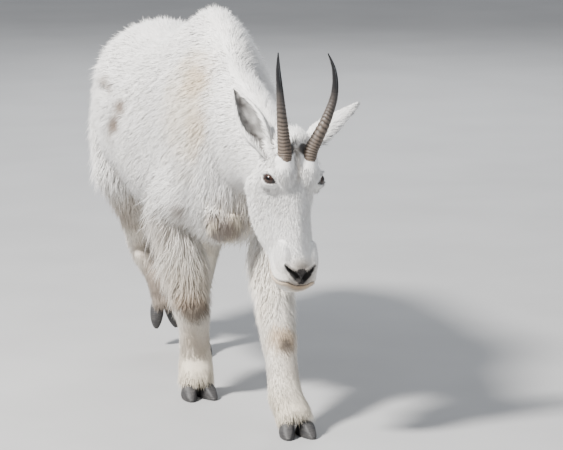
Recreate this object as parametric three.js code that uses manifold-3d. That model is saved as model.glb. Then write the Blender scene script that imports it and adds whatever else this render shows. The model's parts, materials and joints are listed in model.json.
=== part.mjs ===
// A mountain goat in its summer coat, walking, at life size: the solids of a still museum model.
// Millimetres. +X is the animal's left, -Y is the way it walks, +Z is up, and it stands on z = 0.
// The head has a frame of its own: -Y comes out of the face, +Z runs up from the nose to the horns.
import * as THREE from 'three';
import { mergeVertices } from 'three/addons/utils/BufferGeometryUtils.js';
import Module from 'manifold-3d';

const wasm = await Module();
wasm.setup();

// Driving dimensions
const HUMP_TOP = 800; // hair over the withers
const RUMP_TOP = 720;
const BRISKET = 324; // underside of the chest, its hanging hair included
const BELLY = 352;
const CHEST_HALF = 130;
const BARREL_HALF = 180;
const GAP = 0.3; // between touching pieces
const CENTRE_X = 2; // middle of the standing animal, which becomes the origin
const CENTRE_Y = 124;

// The head's place: the point between the horns, and its turn, nod and tilt
const HEAD_AT = new THREE.Vector3(39, -430, 566);
const HEAD_TURN = THREE.MathUtils.degToRad(4);
const HEAD_NOD = THREE.MathUtils.degToRad(-11);
const HEAD_TILT = THREE.MathUtils.degToRad(3.5);
const JAW_SWING = 0.2; // to the right, for each millimetre that a place lies behind JAW_FROM
const JAW_FROM = 28;
const NOSE_LEAN = 0.029; // to the left, for each millimetre that a place lies below NOSE_FROM
const NOSE_FROM = -45;

const COAT = { color: 0xf3efe6, roughness: 0.95, metalness: 0 };
const LEG_COAT = { color: 0xe9dfcb, roughness: 0.95, metalness: 0 };
const WOOL = { color: 0xb79b82, roughness: 1, metalness: 0 };
const HORN = { color: 0x2b2622, roughness: 0.45, metalness: 0 };
const HOOF = { color: 0x4c4a4a, roughness: 0.6, metalness: 0 };
const EYE = { color: 0x1d130d, roughness: 0.1, metalness: 0 };

const UP = new THREE.Vector3(0, 0, 1);
const SIDE = new THREE.Vector3(1, 0, 0);
const DOWN = new THREE.Vector3(0, 0, -1);

// Solids from rings

/** Catmull-Rom value between b and c. */
function easeBetween(a, b, c, d, f) {
  const slopeB = (c - a) / 2;
  const slopeC = (d - b) / 2;
  const cubic = 2 * (b - c) + slopeB + slopeC;
  const square = 3 * (c - b) - 2 * slopeB - slopeC;
  return ((cubic * f + square) * f + slopeB) * f + b;
}

/** Reads a table of stations at `count` even steps, every value eased between its rows. */
function readStations(rows, count) {
  const last = rows.length - 1;
  const smooth = [];
  for (let i = 0; i < count; i += 1) {
    const place = (i / (count - 1)) * last;
    const k = Math.min(Math.floor(place), last - 1);
    const near = [rows[Math.max(k - 1, 0)], rows[k], rows[k + 1], rows[Math.min(k + 2, last)]];
    const row = {};
    for (const key of Object.keys(rows[0])) {
      row[key] = easeBetween(...near.map((r) => r[key]), place - k);
    }
    smooth.push(row);
  }
  return smooth;
}

/** Makes a solid of a closed triangle list, facing out whichever way it was wound. */
function solidOf(points, triangles) {
  const vertProperties = new Float32Array(points.flatMap((p) => [p.x, p.y, p.z]));
  let volume = 0;
  for (const [a, b, c] of triangles) {
    volume += points[a].dot(new THREE.Vector3().crossVectors(points[b], points[c]));
  }
  const facing = volume < 0 ? triangles.map(([a, b, c]) => [a, c, b]) : triangles;
  return new wasm.Manifold(
    new wasm.Mesh({ numProp: 3, vertProperties, triVerts: new Uint32Array(facing.flat()) }),
  );
}

/** Joins rings of equal count into a closed solid; either end may close on one point. */
function loft(rings, { startPoint = null, endPoint = null } = {}) {
  const count = rings[0].length;
  const points = rings.flat();
  const triangles = [];
  for (let r = 0; r < rings.length - 1; r += 1) {
    for (let k = 0; k < count; k += 1) {
      const a = r * count + k;
      const b = r * count + ((k + 1) % count);
      triangles.push([a, b, a + count], [b, b + count, a + count]);
    }
  }
  const close = (ring, first, tip, turned) => {
    const middle = tip ?? ring.reduce((sum, p) => sum.add(p), new THREE.Vector3()).divideScalar(count);
    const centre = points.push(middle) - 1;
    for (let k = 0; k < count; k += 1) {
      const next = (k + 1) % count;
      triangles.push(turned ? [centre, first + next, first + k] : [centre, first + k, first + next]);
    }
  };
  close(rings[0], 0, startPoint, true);
  close(rings.at(-1), (rings.length - 1) * count, endPoint, false);
  return solidOf(points, triangles);
}

/** Rings of a path of stations {x, y, z, wide, front, back}, square to the path or else all to one heading. */
function limbRings(rows, steps, sides, heading = null) {
  const path = readStations(rows, steps);
  return path.map((row, i) => {
    const before = path[Math.max(i - 1, 0)];
    const after = path[Math.min(i + 1, steps - 1)];
    const ahead = heading ?? new THREE.Vector3(after.x - before.x, after.y - before.y, after.z - before.z);
    const along = ahead.clone().normalize();
    const across = SIDE.clone().addScaledVector(along, -along.x).normalize();
    const fore = new THREE.Vector3().crossVectors(along, across);
    const ring = [];
    for (let k = 0; k < sides; k += 1) {
      const turn = (2 * Math.PI * k) / sides;
      const reach = Math.cos(turn) > 0 ? row.front : row.back;
      const narrow = 1 - (row.crest ?? 0) * Math.max(Math.cos(turn), 0) ** 2;
      ring.push(new THREE.Vector3(row.x, row.y, row.z)
        .addScaledVector(across, row.wide * Math.sin(turn) * narrow)
        .addScaledVector(fore, reach * Math.cos(turn)));
    }
    return ring;
  });
}

/** The same stations one gap wider and one gap longer at both ends. */
function grown(rows) {
  const wider = rows.map((r) => ({ ...r, wide: r.wide + GAP, front: r.front + GAP, back: r.back + GAP }));
  const stretch = (end, inner) => {
    const away = new THREE.Vector3(end.x - inner.x, end.y - inner.y, end.z - inner.z).setLength(GAP);
    Object.assign(end, { x: end.x + away.x, y: end.y + away.y, z: end.z + away.z });
  };
  stretch(wider[0], rows[1]);
  stretch(wider.at(-1), rows.at(-2));
  return wider;
}

/** A limb, neck or other solid along a path of stations. */
const limb = (rows, steps, sides, heading) => loft(limbRings(rows, steps, sides, heading));

/** An ellipsoid, turned by a matrix about its middle. */
function ball(centre, radii, turn = new THREE.Matrix4(), detail = 10) {
  const shape = new THREE.SphereGeometry(1, detail, Math.round(detail * 0.7));
  shape.scale(radii[0], radii[1], radii[2]);
  shape.applyMatrix4(turn);
  shape.translate(centre.x, centre.y, centre.z);
  return fromGeometry(shape);
}

/** A closed three.js geometry as a solid. */
function fromGeometry(geometry) {
  geometry.deleteAttribute('normal');
  geometry.deleteAttribute('uv');
  const merged = mergeVertices(geometry, 1e-4);
  const place = merged.getAttribute('position');
  const points = Array.from({ length: place.count }, (_, i) => new THREE.Vector3().fromBufferAttribute(place, i));
  const triangles = [];
  for (let i = 0; i < merged.index.count; i += 3) {
    const corner = [0, 1, 2].map((k) => merged.index.getX(i + k));
    if (new Set(corner).size === 3) triangles.push(corner);
  }
  return solidOf(points, triangles);
}

/** A thin plate that parts a solid: `wide` by `deep`, one gap thick, square to `normal`. */
function plate(centre, normal, wide, deep) {
  const shape = new THREE.BoxGeometry(wide, deep, GAP);
  const turn = new THREE.Quaternion().setFromUnitVectors(UP, normal.clone().normalize());
  shape.applyQuaternion(turn);
  shape.translate(centre.x, centre.y, centre.z);
  return fromGeometry(shape);
}

const joinAll = (solids) => wasm.Manifold.union(solids);
const volumeOf = (solid) => solid.volume();

/** The largest closed body of a solid. */
const largest = (solid) => solid.decompose().sort((a, b) => volumeOf(b) - volumeOf(a))[0];

/** Bodies of a cut solid, ordered by a measure of their middle. */
function pieces(solid, count, measure) {
  const middle = (body) => {
    const { min, max } = body.boundingBox();
    return measure(...[0, 1, 2].map((k) => (min[k] + max[k]) / 2));
  };
  return solid.decompose()
    .sort((a, b) => volumeOf(b) - volumeOf(a))
    .slice(0, count)
    .sort((a, b) => middle(a) - middle(b));
}

// The parts as solids, and the group that holds them

const goat = new THREE.Group();
goat.position.set(-CENTRE_X, -CENTRE_Y, 0);

const parts = new Map();

/** Keeps one named body for the model. */
function keep(name, solid, finish) {
  parts.set(name, { solid: largest(solid), finish });
}

/** Adds one named body to the group. */
function addNode(name, solid, finish) {
  const { vertProperties, triVerts } = solid.getMesh();
  const geometry = new THREE.BufferGeometry();
  geometry.setAttribute('position', new THREE.BufferAttribute(new Float32Array(vertProperties), 3));
  geometry.setIndex(new THREE.BufferAttribute(new Uint32Array(triVerts), 1));
  const mesh = new THREE.Mesh(geometry, new THREE.MeshStandardMaterial(finish));
  mesh.name = name;
  goat.add(mesh);
}

// Trunk: sections square to the spine, from the breast to the rump

const TRUNK = [
  { y: -190, x: 0, z: 492, half: 40, up: 52, down: 46, crest: 0 },
  { y: -165, x: 0, z: 498, half: 78, up: 116, down: 112, crest: 0.05 },
  { y: -120, x: 0, z: 512, half: 96, up: 190, down: 512 - BRISKET - 24, crest: 0.16 },
  { y: -60, x: 0, z: 520, half: 114, up: 240, down: 520 - BRISKET - 8, crest: 0.3 },
  { y: 0, x: 0, z: 520, half: 127, up: 270, down: 520 - BRISKET, crest: 0.36 },
  { y: 50, x: 0, z: 520, half: CHEST_HALF + 2, up: HUMP_TOP - 522, down: 520 - BRISKET, crest: 0.36 },
  { y: 110, x: 0, z: 520, half: 144, up: 260, down: 192, crest: 0.28 },
  { y: 180, x: 0, z: 518, half: 163, up: 226, down: 182, crest: 0.12 },
  { y: 270, x: 0, z: 520, half: BARREL_HALF, up: 202, down: 520 - BELLY, crest: 0.06 },
  { y: 350, x: 0, z: 524, half: BARREL_HALF, up: 193, down: 162, crest: 0.06 },
  { y: 430, x: 0, z: 532, half: 168, up: RUMP_TOP - 532, down: 146, crest: 0.07 },
  { y: 510, x: 0, z: 544, half: 152, up: RUMP_TOP - 546, down: 136, crest: 0.08 },
  { y: 580, x: 0, z: 556, half: 128, up: 142, down: 128, crest: 0.05 },
  { y: 630, x: 0, z: 566, half: 94, up: 98, down: 98, crest: 0 },
  { y: 660, x: 0, z: 574, half: 44, up: 44, down: 50, crest: 0 },
];

const TRUNK_STEPS = 20;
const TRUNK_SIDES = 20;
const TRUNK_ROUND = { across: 0.92, high: 0.94 }; // below 1 squares a section a little

/** A value from -1 to 1 raised to a power, its sign kept. */
const rounded = (value, power) => Math.sign(value) * Math.abs(value) ** power;

/** The trunk, or a copy of it that is fatter by `grow`. */
function trunkSolid(grow = 0) {
  const rings = readStations(TRUNK, TRUNK_STEPS).map((row) => {
    const ring = [];
    for (let k = 0; k < TRUNK_SIDES; k += 1) {
      const turn = (2 * Math.PI * k) / TRUNK_SIDES;
      const height = Math.cos(turn);
      const reach = (height > 0 ? row.up : row.down) + grow;
      const narrow = 1 - row.crest * Math.max(height, 0) ** 2;
      ring.push(new THREE.Vector3(
        row.x + (row.half + grow) * rounded(Math.sin(turn), TRUNK_ROUND.across) * narrow,
        row.y,
        row.z + reach * rounded(height, TRUNK_ROUND.high),
      ));
    }
    return ring;
  });
  return loft(rings);
}

// Legs: joints first, then the flesh along them. Each leg is a path of stations from the trunk to the coronet.

// `hoof` is the middle of the sole; `shag` is how much fuller the long hair stands at a forearm or a hind cannon;
// `splay` and `droop` turn the foot, and `size` scales it.
const LEG_JOINTS = {
  fore_right: {
    top: [-80, -50, 540], mid: [-84, 44, 385], low: [-62, -2, 163], fetlock: [-55, 6, 72], hoof: [-58, -22, 0],
    shag: 17, splay: 0.06, droop: 0, size: 1,
  },
  fore_left: {
    top: [78, -60, 540], mid: [74, -70, 385], low: [41, -285, 160], fetlock: [32, -358, 74], hoof: [44, -396, 0],
    shag: 3, splay: -0.05, droop: 0, size: 1,
  },
  hind_right: {
    top: [-86, 520, 600], mid: [-98, 430, 405], low: [-26, 588, 208], fetlock: [-8, 487, 137], hoof: [3, 502, 70],
    shag: 4, splay: 0, droop: 1.02, size: 0.92,
  },
  hind_left: {
    top: [84, 500, 600], mid: [97, 350, 405], low: [87, 452, 214], fetlock: [49, 414, 76], hoof: [43, 380, 0],
    shag: 0, splay: -0.08, droop: 0, size: 0.92,
  },
};
const CORONET = new THREE.Vector3(0, 12, 29); // from the middle of a flat sole to the middle of the hooves' top

const point = ([x, y, z]) => new THREE.Vector3(x, y, z);

/** One station part of the way between two joints, moved fore or aft by `ahead`. */
function station(from, to, f, wide, front, back, ahead = 0) {
  const at = point(from).lerp(point(to), f);
  return { x: at.x, y: at.y - ahead, z: at.z, wide, front, back };
}

/** Middle of the top of a foot's hooves. */
function coronetOf({ hoof, droop, size }) {
  return CORONET.clone().multiplyScalar(size).applyAxisAngle(SIDE, droop).add(point(hoof)).toArray();
}

/** Stations of a forelimb from the shoulder to the top of the hooves, hair included. */
function foreStations({ top, mid, low, fetlock, shag }, coronet) {
  return [
    station(top, mid, 0, 34, 70, 60, 20),
    station(top, mid, 0.5, 50, 92, 78, 10),
    station(top, mid, 0.95, 52 + shag, 74, 70 + shag),
    station(mid, low, 0.3, 46 + shag, 56, 62 + shag),
    station(mid, low, 0.66, 39 + shag * 0.5, 43, 46 + shag * 0.5),
    station(mid, low, 0.96, 38, 39, 37),
    station(low, fetlock, 0.3, 35, 32, 33),
    station(low, fetlock, 0.7, 35, 30, 32),
    station(low, fetlock, 1, 38, 32, 36),
    station(fetlock, coronet, 0.5, 39, 34, 36),
    station(fetlock, coronet, 1, 40, 37, 37),
  ];
}

/** Stations of a hind limb from the hip to the top of the hooves, hair included. */
function hindStations({ top, mid, low, fetlock, shag }, coronet) {
  return [
    station(top, mid, 0, 50, 100, 90),
    station(top, mid, 0.5, 66, 112, 118, -18),
    station(top, mid, 1, 60, 84, 112, -22),
    station(mid, low, 0.4, 46, 56, 62),
    station(mid, low, 0.75, 34, 36, 42),
    station(mid, low, 1.02, 30 + shag * 0.6, 32, 36 + shag * 0.6),
    station(low, fetlock, 0.35, 27 + shag, 27, 30),
    station(low, fetlock, 0.72, 26 + shag * 0.4, 26, 28),
    station(low, fetlock, 1, 31, 28, 32),
    station(fetlock, coronet, 0.5, 32, 30, 31),
    station(fetlock, coronet, 1, 35, 33, 33),
  ];
}

const LEG_STEPS = 18;
const LEG_SIDES = 12;
const legs = {};
const legsGrown = {};
for (const [name, joints] of Object.entries(LEG_JOINTS)) {
  const stations = (name.startsWith('fore') ? foreStations : hindStations)(joints, coronetOf(joints));
  legs[name] = limb(stations, LEG_STEPS, LEG_SIDES);
  legsGrown[name] = limb(grown(stations), LEG_STEPS, LEG_SIDES);
}

// Hooves: two toes a foot, and two dew claws above them

const TOE_APART = 18; // from the middle of the foot to the middle of a toe
const TOE_INNER = 0.82; // a toe's inner half width, by its outer one
const TOE_STEPS = 9;

// A toe from its heel to its pointed tip: its wall rises steeply to the hair at -10
const TOE = [
  { y: 33, wide: 10, high: 11 },
  { y: 22, wide: 15, high: 19 },
  { y: 6, wide: 17.5, high: 29 },
  { y: -9, wide: 17, high: 32 },
  { y: -23, wide: 14, high: 22 },
  { y: -34, wide: 9, high: 11 },
  { y: -40, wide: 4, high: 4 },
];

/** One toe in its own frame: the sole lies on z = 0 and the tip points along -Y. */
function toe(side) {
  const rings = readStations(TOE, TOE_STEPS).map(({ y, wide, high }) => {
    const inner = -side * wide * TOE_INNER;
    const outer = side * wide;
    return [
      [inner, 0], [outer * 0.9, 0], [outer, high * 0.25], [outer * 0.82, high * 0.8],
      [outer * 0.2, high], [inner * 0.75, high * 0.9], [inner, high * 0.3],
    ].map(([x, z]) => new THREE.Vector3(x, y, z));
  });
  return loft(rings);
}

/** Sets a solid made in a frame of its own at a place, turned by a matrix. */
function settle(solid, turn, at) {
  const place = new THREE.Matrix4().makeTranslation(at.x, at.y, at.z).multiply(turn);
  return solid.transform(place.elements);
}

const TOE_SPREAD = 0.17;
const CLAW_BACK = 37; // dew claws behind the fetlock
const CLAW_OUT = 16;
const CLAW_DOWN = 0.2; // part of the way from the fetlock to the sole
const CLAW_RADII = [8, 10, 14];

/** The toes and dew claws of a foot, each a solid by name. */
function footPieces(name) {
  const { fetlock, hoof, splay, droop, size } = LEG_JOINTS[name];
  const turn = new THREE.Matrix4().makeRotationZ(splay).multiply(new THREE.Matrix4().makeRotationX(droop));
  const heelward = new THREE.Vector3().crossVectors(SIDE, point(hoof).sub(point(fetlock))).normalize();
  const out = {};
  for (const [label, side] of [['right', -1], ['left', 1]]) {
    const spread = new THREE.Matrix4().makeRotationZ(side * TOE_SPREAD);
    const shift = new THREE.Matrix4().makeTranslation(side * TOE_APART * size, 0, 0);
    const scale = new THREE.Matrix4().makeScale(size, size, size);
    const place = turn.clone().multiply(shift).multiply(spread).multiply(scale);
    out[`toe_${label}`] = settle(toe(side), place, point(hoof));
    const clawAt = point(fetlock).lerp(point(hoof), CLAW_DOWN)
      .addScaledVector(SIDE, side * CLAW_OUT).addScaledVector(heelward, CLAW_BACK * size);
    out[`dewclaw_${label}`] = ball(clawAt, CLAW_RADII, turn, 6);
  }
  return out;
}

// Neck and head

const headTurn = new THREE.Matrix4().makeRotationFromEuler(
  new THREE.Euler(HEAD_NOD, HEAD_TILT, HEAD_TURN, 'ZXY'),
);
const onHead = (x, y, z) => new THREE.Vector3(x, y, z).applyMatrix4(headTurn).add(HEAD_AT);

/** Swings the jaw to one side and leans the nose to the other, as they look on a head that is turned. */
function turnFace(vertex) {
  const [, y, z] = vertex;
  const jaw = Math.max(y - JAW_FROM, 0) * THREE.MathUtils.smoothstep(-z, 5, 60);
  vertex[0] += NOSE_LEAN * Math.max(NOSE_FROM - z, 0) - JAW_SWING * jaw;
}

const settleOnHead = (solid) => settle(solid.warp(turnFace), headTurn, HEAD_AT);

const NAPE = onHead(0, 104, -34);
const NECK = [
  { x: 0, y: 10, z: 590, wide: 84, front: 150, back: 150, crest: 0.3 },
  { x: 0, y: -90, z: 582, wide: 84, front: 130, back: 150, crest: 0.25 },
  { x: 6, y: -190, z: 568, wide: 76, front: 106, back: 126, crest: 0.2 },
  { x: NAPE.x * 0.6, y: -270, z: 550, wide: 66, front: 88, back: 100, crest: 0.1 },
  { x: NAPE.x, y: NAPE.y, z: NAPE.z, wide: 56, front: 64, back: 70, crest: 0 },
];

// The head down its own axis, from the crown to the lips: front reaches the bridge, back the jaw
const HEAD = [
  { x: 0, y: 80, z: 46, wide: 34, front: 40, back: 26, crest: 0 },
  { x: 0, y: 76, z: 28, wide: 48, front: 64, back: 46, crest: 0 },
  { x: 0, y: 76, z: 4, wide: 55, front: 76, back: 60, crest: 0 },
  { x: 0, y: 80, z: -26, wide: 58, front: 84, back: 64, crest: -0.1 },
  { x: 0, y: 88, z: -58, wide: 60, front: 88, back: 62, crest: -0.1 },
  { x: 0, y: 96, z: -95, wide: 56, front: 96, back: 52, crest: 0.08 },
  { x: 0, y: 94, z: -128, wide: 52, front: 94, back: 46, crest: 0.14 },
  { x: 0, y: 78, z: -160, wide: 47, front: 78, back: 44, crest: 0.12 },
  { x: 0, y: 58, z: -190, wide: 43, front: 57, back: 42, crest: 0.05 },
  { x: 0, y: 44, z: -216, wide: 45, front: 43, back: 40, crest: 0 },
  { x: 0, y: 42, z: -238, wide: 43, front: 37, back: 34, crest: 0 },
  { x: 0, y: 42, z: -253, wide: 36, front: 27, back: 28, crest: 0 },
  { x: 0, y: 43, z: -263, wide: 22, front: 15, back: 18, crest: 0 },
  { x: 0, y: 43, z: -267, wide: 6, front: 5, back: 6, crest: 0 },
];
const HEAD_STEPS = 21;
const HEAD_SIDES = 18;
const NECK_STEPS = 8;

const EYE_RADIUS = 15;
const EYE_DETAIL = 10;
const EYE_OUT = 45; // from the middle of the head
const EYE_BACK = 31; // behind the bridge
const EYE_LEVEL = -50; // under the horns
const BROW = 21; // radius of the dome of each eye socket
const BROW_SUNK = 4; // its middle behind that of the eye
const LID_OPENING = [9, 12, 12];

const eyeCentre = (side) => new THREE.Vector3(side * EYE_OUT, EYE_BACK, EYE_LEVEL);

const eyeLook = (side) => new THREE.Vector3(side * 0.8, -0.58, 0.12).normalize();

/** A head with its brows, eye sockets, lids and nostrils worked into the plain loft. */
function withFeatures(plain) {
  let solid = plain;
  const still = new THREE.Matrix4();
  for (const side of [-1, 1]) {
    const centre = eyeCentre(side);
    const look = eyeLook(side);
    const aim = new THREE.Matrix4().makeRotationFromQuaternion(new THREE.Quaternion().setFromUnitVectors(UP, look));
    const dome = ball(centre.clone().addScaledVector(look, -BROW_SUNK), Array(3).fill(BROW), still, 10);
    const socket = ball(centre, Array(3).fill(EYE_RADIUS + GAP), still, EYE_DETAIL);
    const opening = ball(centre.clone().addScaledVector(look, EYE_RADIUS), LID_OPENING, aim, 8);
    solid = solid.add(settleOnHead(dome)).subtract(settleOnHead(joinAll([socket, opening, nostril(side)])));
  }
  return solid;
}

/** A nostril: a slit that curls from the side of the muzzle down to its middle. */
function nostril(side) {
  const path = [
    { x: side * 30, y: 12.5, z: -214.5, wide: 2.5, front: 4, back: 5 },
    { x: side * 23.5, y: 9, z: -223, wide: 4, front: 5, back: 6 },
    { x: side * 15, y: 7, z: -232, wide: 5, front: 5, back: 6 },
    { x: side * 7.5, y: 8, z: -241, wide: 4, front: 5, back: 6 },
  ];
  return limb(path, 6, 6);
}

/** The mouth: a thin cut from the lips to their corners, which then turns down behind the chin. */
function mouthCut() {
  const lipLine = [[-20, -257], [22, -254], [37, -248], [50, -236], [66, -203], [150, -186]];
  const thick = [1.6, 1.6, 1.6, 1.6, 1.2, GAP];
  const near = lipLine.map(([y, z], i) => [y - thick[i] * 0.35, z + thick[i] * 0.65]);
  const far = lipLine.map(([y, z], i) => [y + thick[i] * 0.35, z - thick[i] * 0.65]).reverse();
  const shape = new THREE.Shape([...near, ...far].map(([y, z]) => new THREE.Vector2(y, z)));
  const slab = new THREE.ExtrudeGeometry(shape, { depth: 140, bevelEnabled: false });
  slab.translate(0, 0, -70);
  slab.applyMatrix4(new THREE.Matrix4().set(0, 0, 1, 0, 1, 0, 0, 0, 0, 1, 0, 0, 0, 0, 0, 1));
  return fromGeometry(slab);
}

// Horns: black, thin, curved back, ringed over the lower half

const HORN_PATH = [
  { out: 25, back: 14, up: -16, size: 15.6 },
  { out: 27, back: 9, up: 10, size: 15 },
  { out: 36, back: -5, up: 60, size: 11.8 },
  { out: 45, back: -19, up: 112, size: 8.4 },
  { out: 51, back: -27, up: 158, size: 5.2 },
  { out: 51, back: -27, up: 192, size: 1.2 },
];
const HORN_BOW = { right: 0, left: 21 }; // how much further out each horn bends, half way up
const BOW_RISE = 1.15; // above 1 sets the widest part of the bend higher
const HORN_RINGS = 7;
const HORN_RIDGE = 0.9;
const HORN_STEPS = 22;
const HORN_SIDES = 8;

/** One horn, or a copy of it that is fatter by `grow`. */
function hornSolid(label, side, grow = 0) {
  const part = (up) => THREE.MathUtils.clamp(up / HORN_PATH.at(-1).up, 0, 1) ** BOW_RISE;
  const bow = (up) => HORN_BOW[label] * Math.sin(Math.PI * part(up));
  const rows = HORN_PATH.map(({ out, back, up, size }) => (
    { x: side * (out + bow(up)), y: back, z: up, wide: size * 0.9, front: size, back: size }));
  const ridged = readStations(rows, HORN_STEPS).map((row, i) => {
    const ringed = i > 2 && i < 2 * HORN_RINGS + 2;
    const ridge = ringed ? (i % 2 ? HORN_RIDGE : -HORN_RIDGE * 0.4) : 0;
    return { ...row, wide: row.wide + ridge + grow, front: row.front + ridge + grow, back: row.back + grow };
  });
  return loft(limbRings(ridged, HORN_STEPS, HORN_SIDES));
}

// Ears: a pointed leaf curled into a cup

const EAR_ROWS = [
  { f: 0, half: 13, curl: 12 },
  { f: 0.18, half: 22, curl: 17 },
  { f: 0.42, half: 25, curl: 15 },
  { f: 0.68, half: 18, curl: 9 },
  { f: 0.88, half: 8.5, curl: 4 },
];
const EAR_WALL = 4;
const EAR_LINING = 0.86; // width of the cup's inside, by its outside
const EAR_ARC = 7; // points across the cup

/** One ear from its root on the head towards `tip`, its cup opening towards `face`; `slim` scales its width. */
function earSolid(root, tip, face, slim) {
  const reach = tip.clone().sub(root);
  const along = reach.clone().normalize();
  const open = face.clone().addScaledVector(along, -face.dot(along)).normalize();
  const across = new THREE.Vector3().crossVectors(along, open);
  const rings = EAR_ROWS.map(({ f, half, curl }) => {
    const centre = root.clone().addScaledVector(reach, f);
    const onArc = (turn, scale) => centre.clone()
      .addScaledVector(across, half * slim * scale * Math.sin(turn))
      .addScaledVector(open, curl * (1 - Math.cos(turn) * (scale < 1 ? 2 : 2.2)) + (scale < 1 ? EAR_WALL * 0.2 : -EAR_WALL));
    const ring = [];
    for (let k = 0; k < EAR_ARC; k += 1) ring.push(onArc(Math.PI * (k / (EAR_ARC - 1) - 0.5), 1));
    for (let k = EAR_ARC - 2; k > 0; k -= 1) ring.push(onArc(Math.PI * (k / (EAR_ARC - 1) - 0.5), EAR_LINING));
    return ring;
  });
  return loft(rings, { endPoint: tip });
}

const EARS = {
  right: { root: onHead(-47, 58, 10), reach: [-49, 58, 113], face: [-0.25, -0.95, 0.1], slim: 1 },
  left: { root: onHead(45, 58, 27), reach: [106, 28, 65], face: [0.6, -0.34, -0.72], slim: 0.76 },
};

// Tail, behind the rump
const TAIL = [
  { x: 0, y: 622, z: 664, wide: 26, front: 20, back: 16 },
  { x: 0, y: 664, z: 640, wide: 30, front: 22, back: 18 },
  { x: 0, y: 684, z: 600, wide: 26, front: 18, back: 16 },
  { x: 0, y: 690, z: 560, wide: 14, front: 10, back: 9 },
  { x: 0, y: 688, z: 540, wide: 4, front: 3, back: 3 },
];

// Wool that hangs unshed from the breast
const TUFT = [
  { x: -30, y: -126, z: 428, wide: 46, front: 30, back: 26 },
  { x: -34, y: -154, z: 412, wide: 50, front: 32, back: 28 },
  { x: -38, y: -170, z: 392, wide: 52, front: 28, back: 27 },
  { x: -40, y: -174, z: 372, wide: 44, front: 21, back: 21 },
  { x: -40, y: -172, z: 356, wide: 18, front: 10, back: 10 },
];

// Where the animal is parted: each cut has a middle, the way it faces and its width and depth

/** A cut square to a limb, part of the way between two joints. */
function limbCut(from, to, f, wide, deep) {
  return plate(point(from).lerp(point(to), f), point(to).sub(point(from)), wide, deep);
}

const cuts = [
  plate(new THREE.Vector3(0, 205, 545), new THREE.Vector3(0, 1, 0), 460, 500), // across the barrel
  plate(new THREE.Vector3(0, -150, 610), new THREE.Vector3(0, -0.86, 0.5), 330, 420), // neck from trunk
  plate(NAPE, NAPE.clone().sub(new THREE.Vector3(NECK[3].x, NECK[3].y, NECK[3].z)), 300, 300), // head
];
for (const [name, { mid, low }] of Object.entries(LEG_JOINTS)) {
  if (name.startsWith('fore')) {
    cuts.push(limbCut(mid, low, 0.34, 156, 200), limbCut(mid, low, 0.93, 110, 120));
  } else {
    const level = (f, wide, deep) => plate(point(mid).lerp(point(low), f), UP, wide, deep);
    cuts.push(level(0.31, 150, 260), level(0.97, 110, 190));
  }
}

// Locks of the long coat

/** Seeded random numbers from 0 to 1, the same on every run. */
function dice(seed) {
  let state = seed;
  return () => {
    state = (state * 1664525 + 1013904223) % 4294967296;
    return state / 4294967296;
  };
}

// Sections of a lock: how far along it, how far off the skin and how wide
const LOCK_RINGS = [
  { along: -0.12, off: -0.14, size: 0.8 },
  { along: 0.2, off: 0.02, size: 1 },
  { along: 0.62, off: 0.06, size: 0.72 },
];
const LOCK_TIP = { along: 1, off: 0.03 };

/** One lock of hair: flat and tapered, rooted under the skin and bent along the lie of the coat. */
function lockSolid({ root, out, lie, length, wide, thick, lift }, grow = 0) {
  const flow = lie.clone().addScaledVector(out, -lie.dot(out)).normalize();
  const across = new THREE.Vector3().crossVectors(out, flow);
  const at = ({ along, off }) => root.clone()
    .addScaledVector(flow, length * along + (along < 0 ? -grow : grow) * 2)
    .addScaledVector(out, length * (off + Math.max(along, 0) * lift));
  const rings = LOCK_RINGS.map((row) => {
    const centre = at(row);
    const half = wide * row.size + grow * 2;
    const deep = thick * row.size + grow * 2;
    return [[half, 0], [0, deep], [-half, 0], [0, -deep]].map(([a, b]) => (
      centre.clone().addScaledVector(across, a).addScaledVector(out, b)));
  });
  return loft(rings, { endPoint: at(LOCK_TIP) });
}

/** Where a ray from inside a solid last leaves it, and the way the surface faces there. */
function leaves(solid, from, direction) {
  const { vertProperties, triVerts } = solid.getMesh();
  const ray = new THREE.Ray(from, direction);
  const corner = (i) => new THREE.Vector3().fromArray(vertProperties, 3 * triVerts[i]);
  let found = null;
  for (let i = 0; i < triVerts.length; i += 3) {
    const [a, b, c] = [corner(i), corner(i + 1), corner(i + 2)];
    const hit = ray.intersectTriangle(a, b, c, false, new THREE.Vector3());
    if (hit && (!found || hit.distanceTo(from) > found.root.distanceTo(from))) {
      found = { root: hit, out: new THREE.Triangle(a, b, c).getNormal(new THREE.Vector3()) };
    }
  }
  return found;
}

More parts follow.
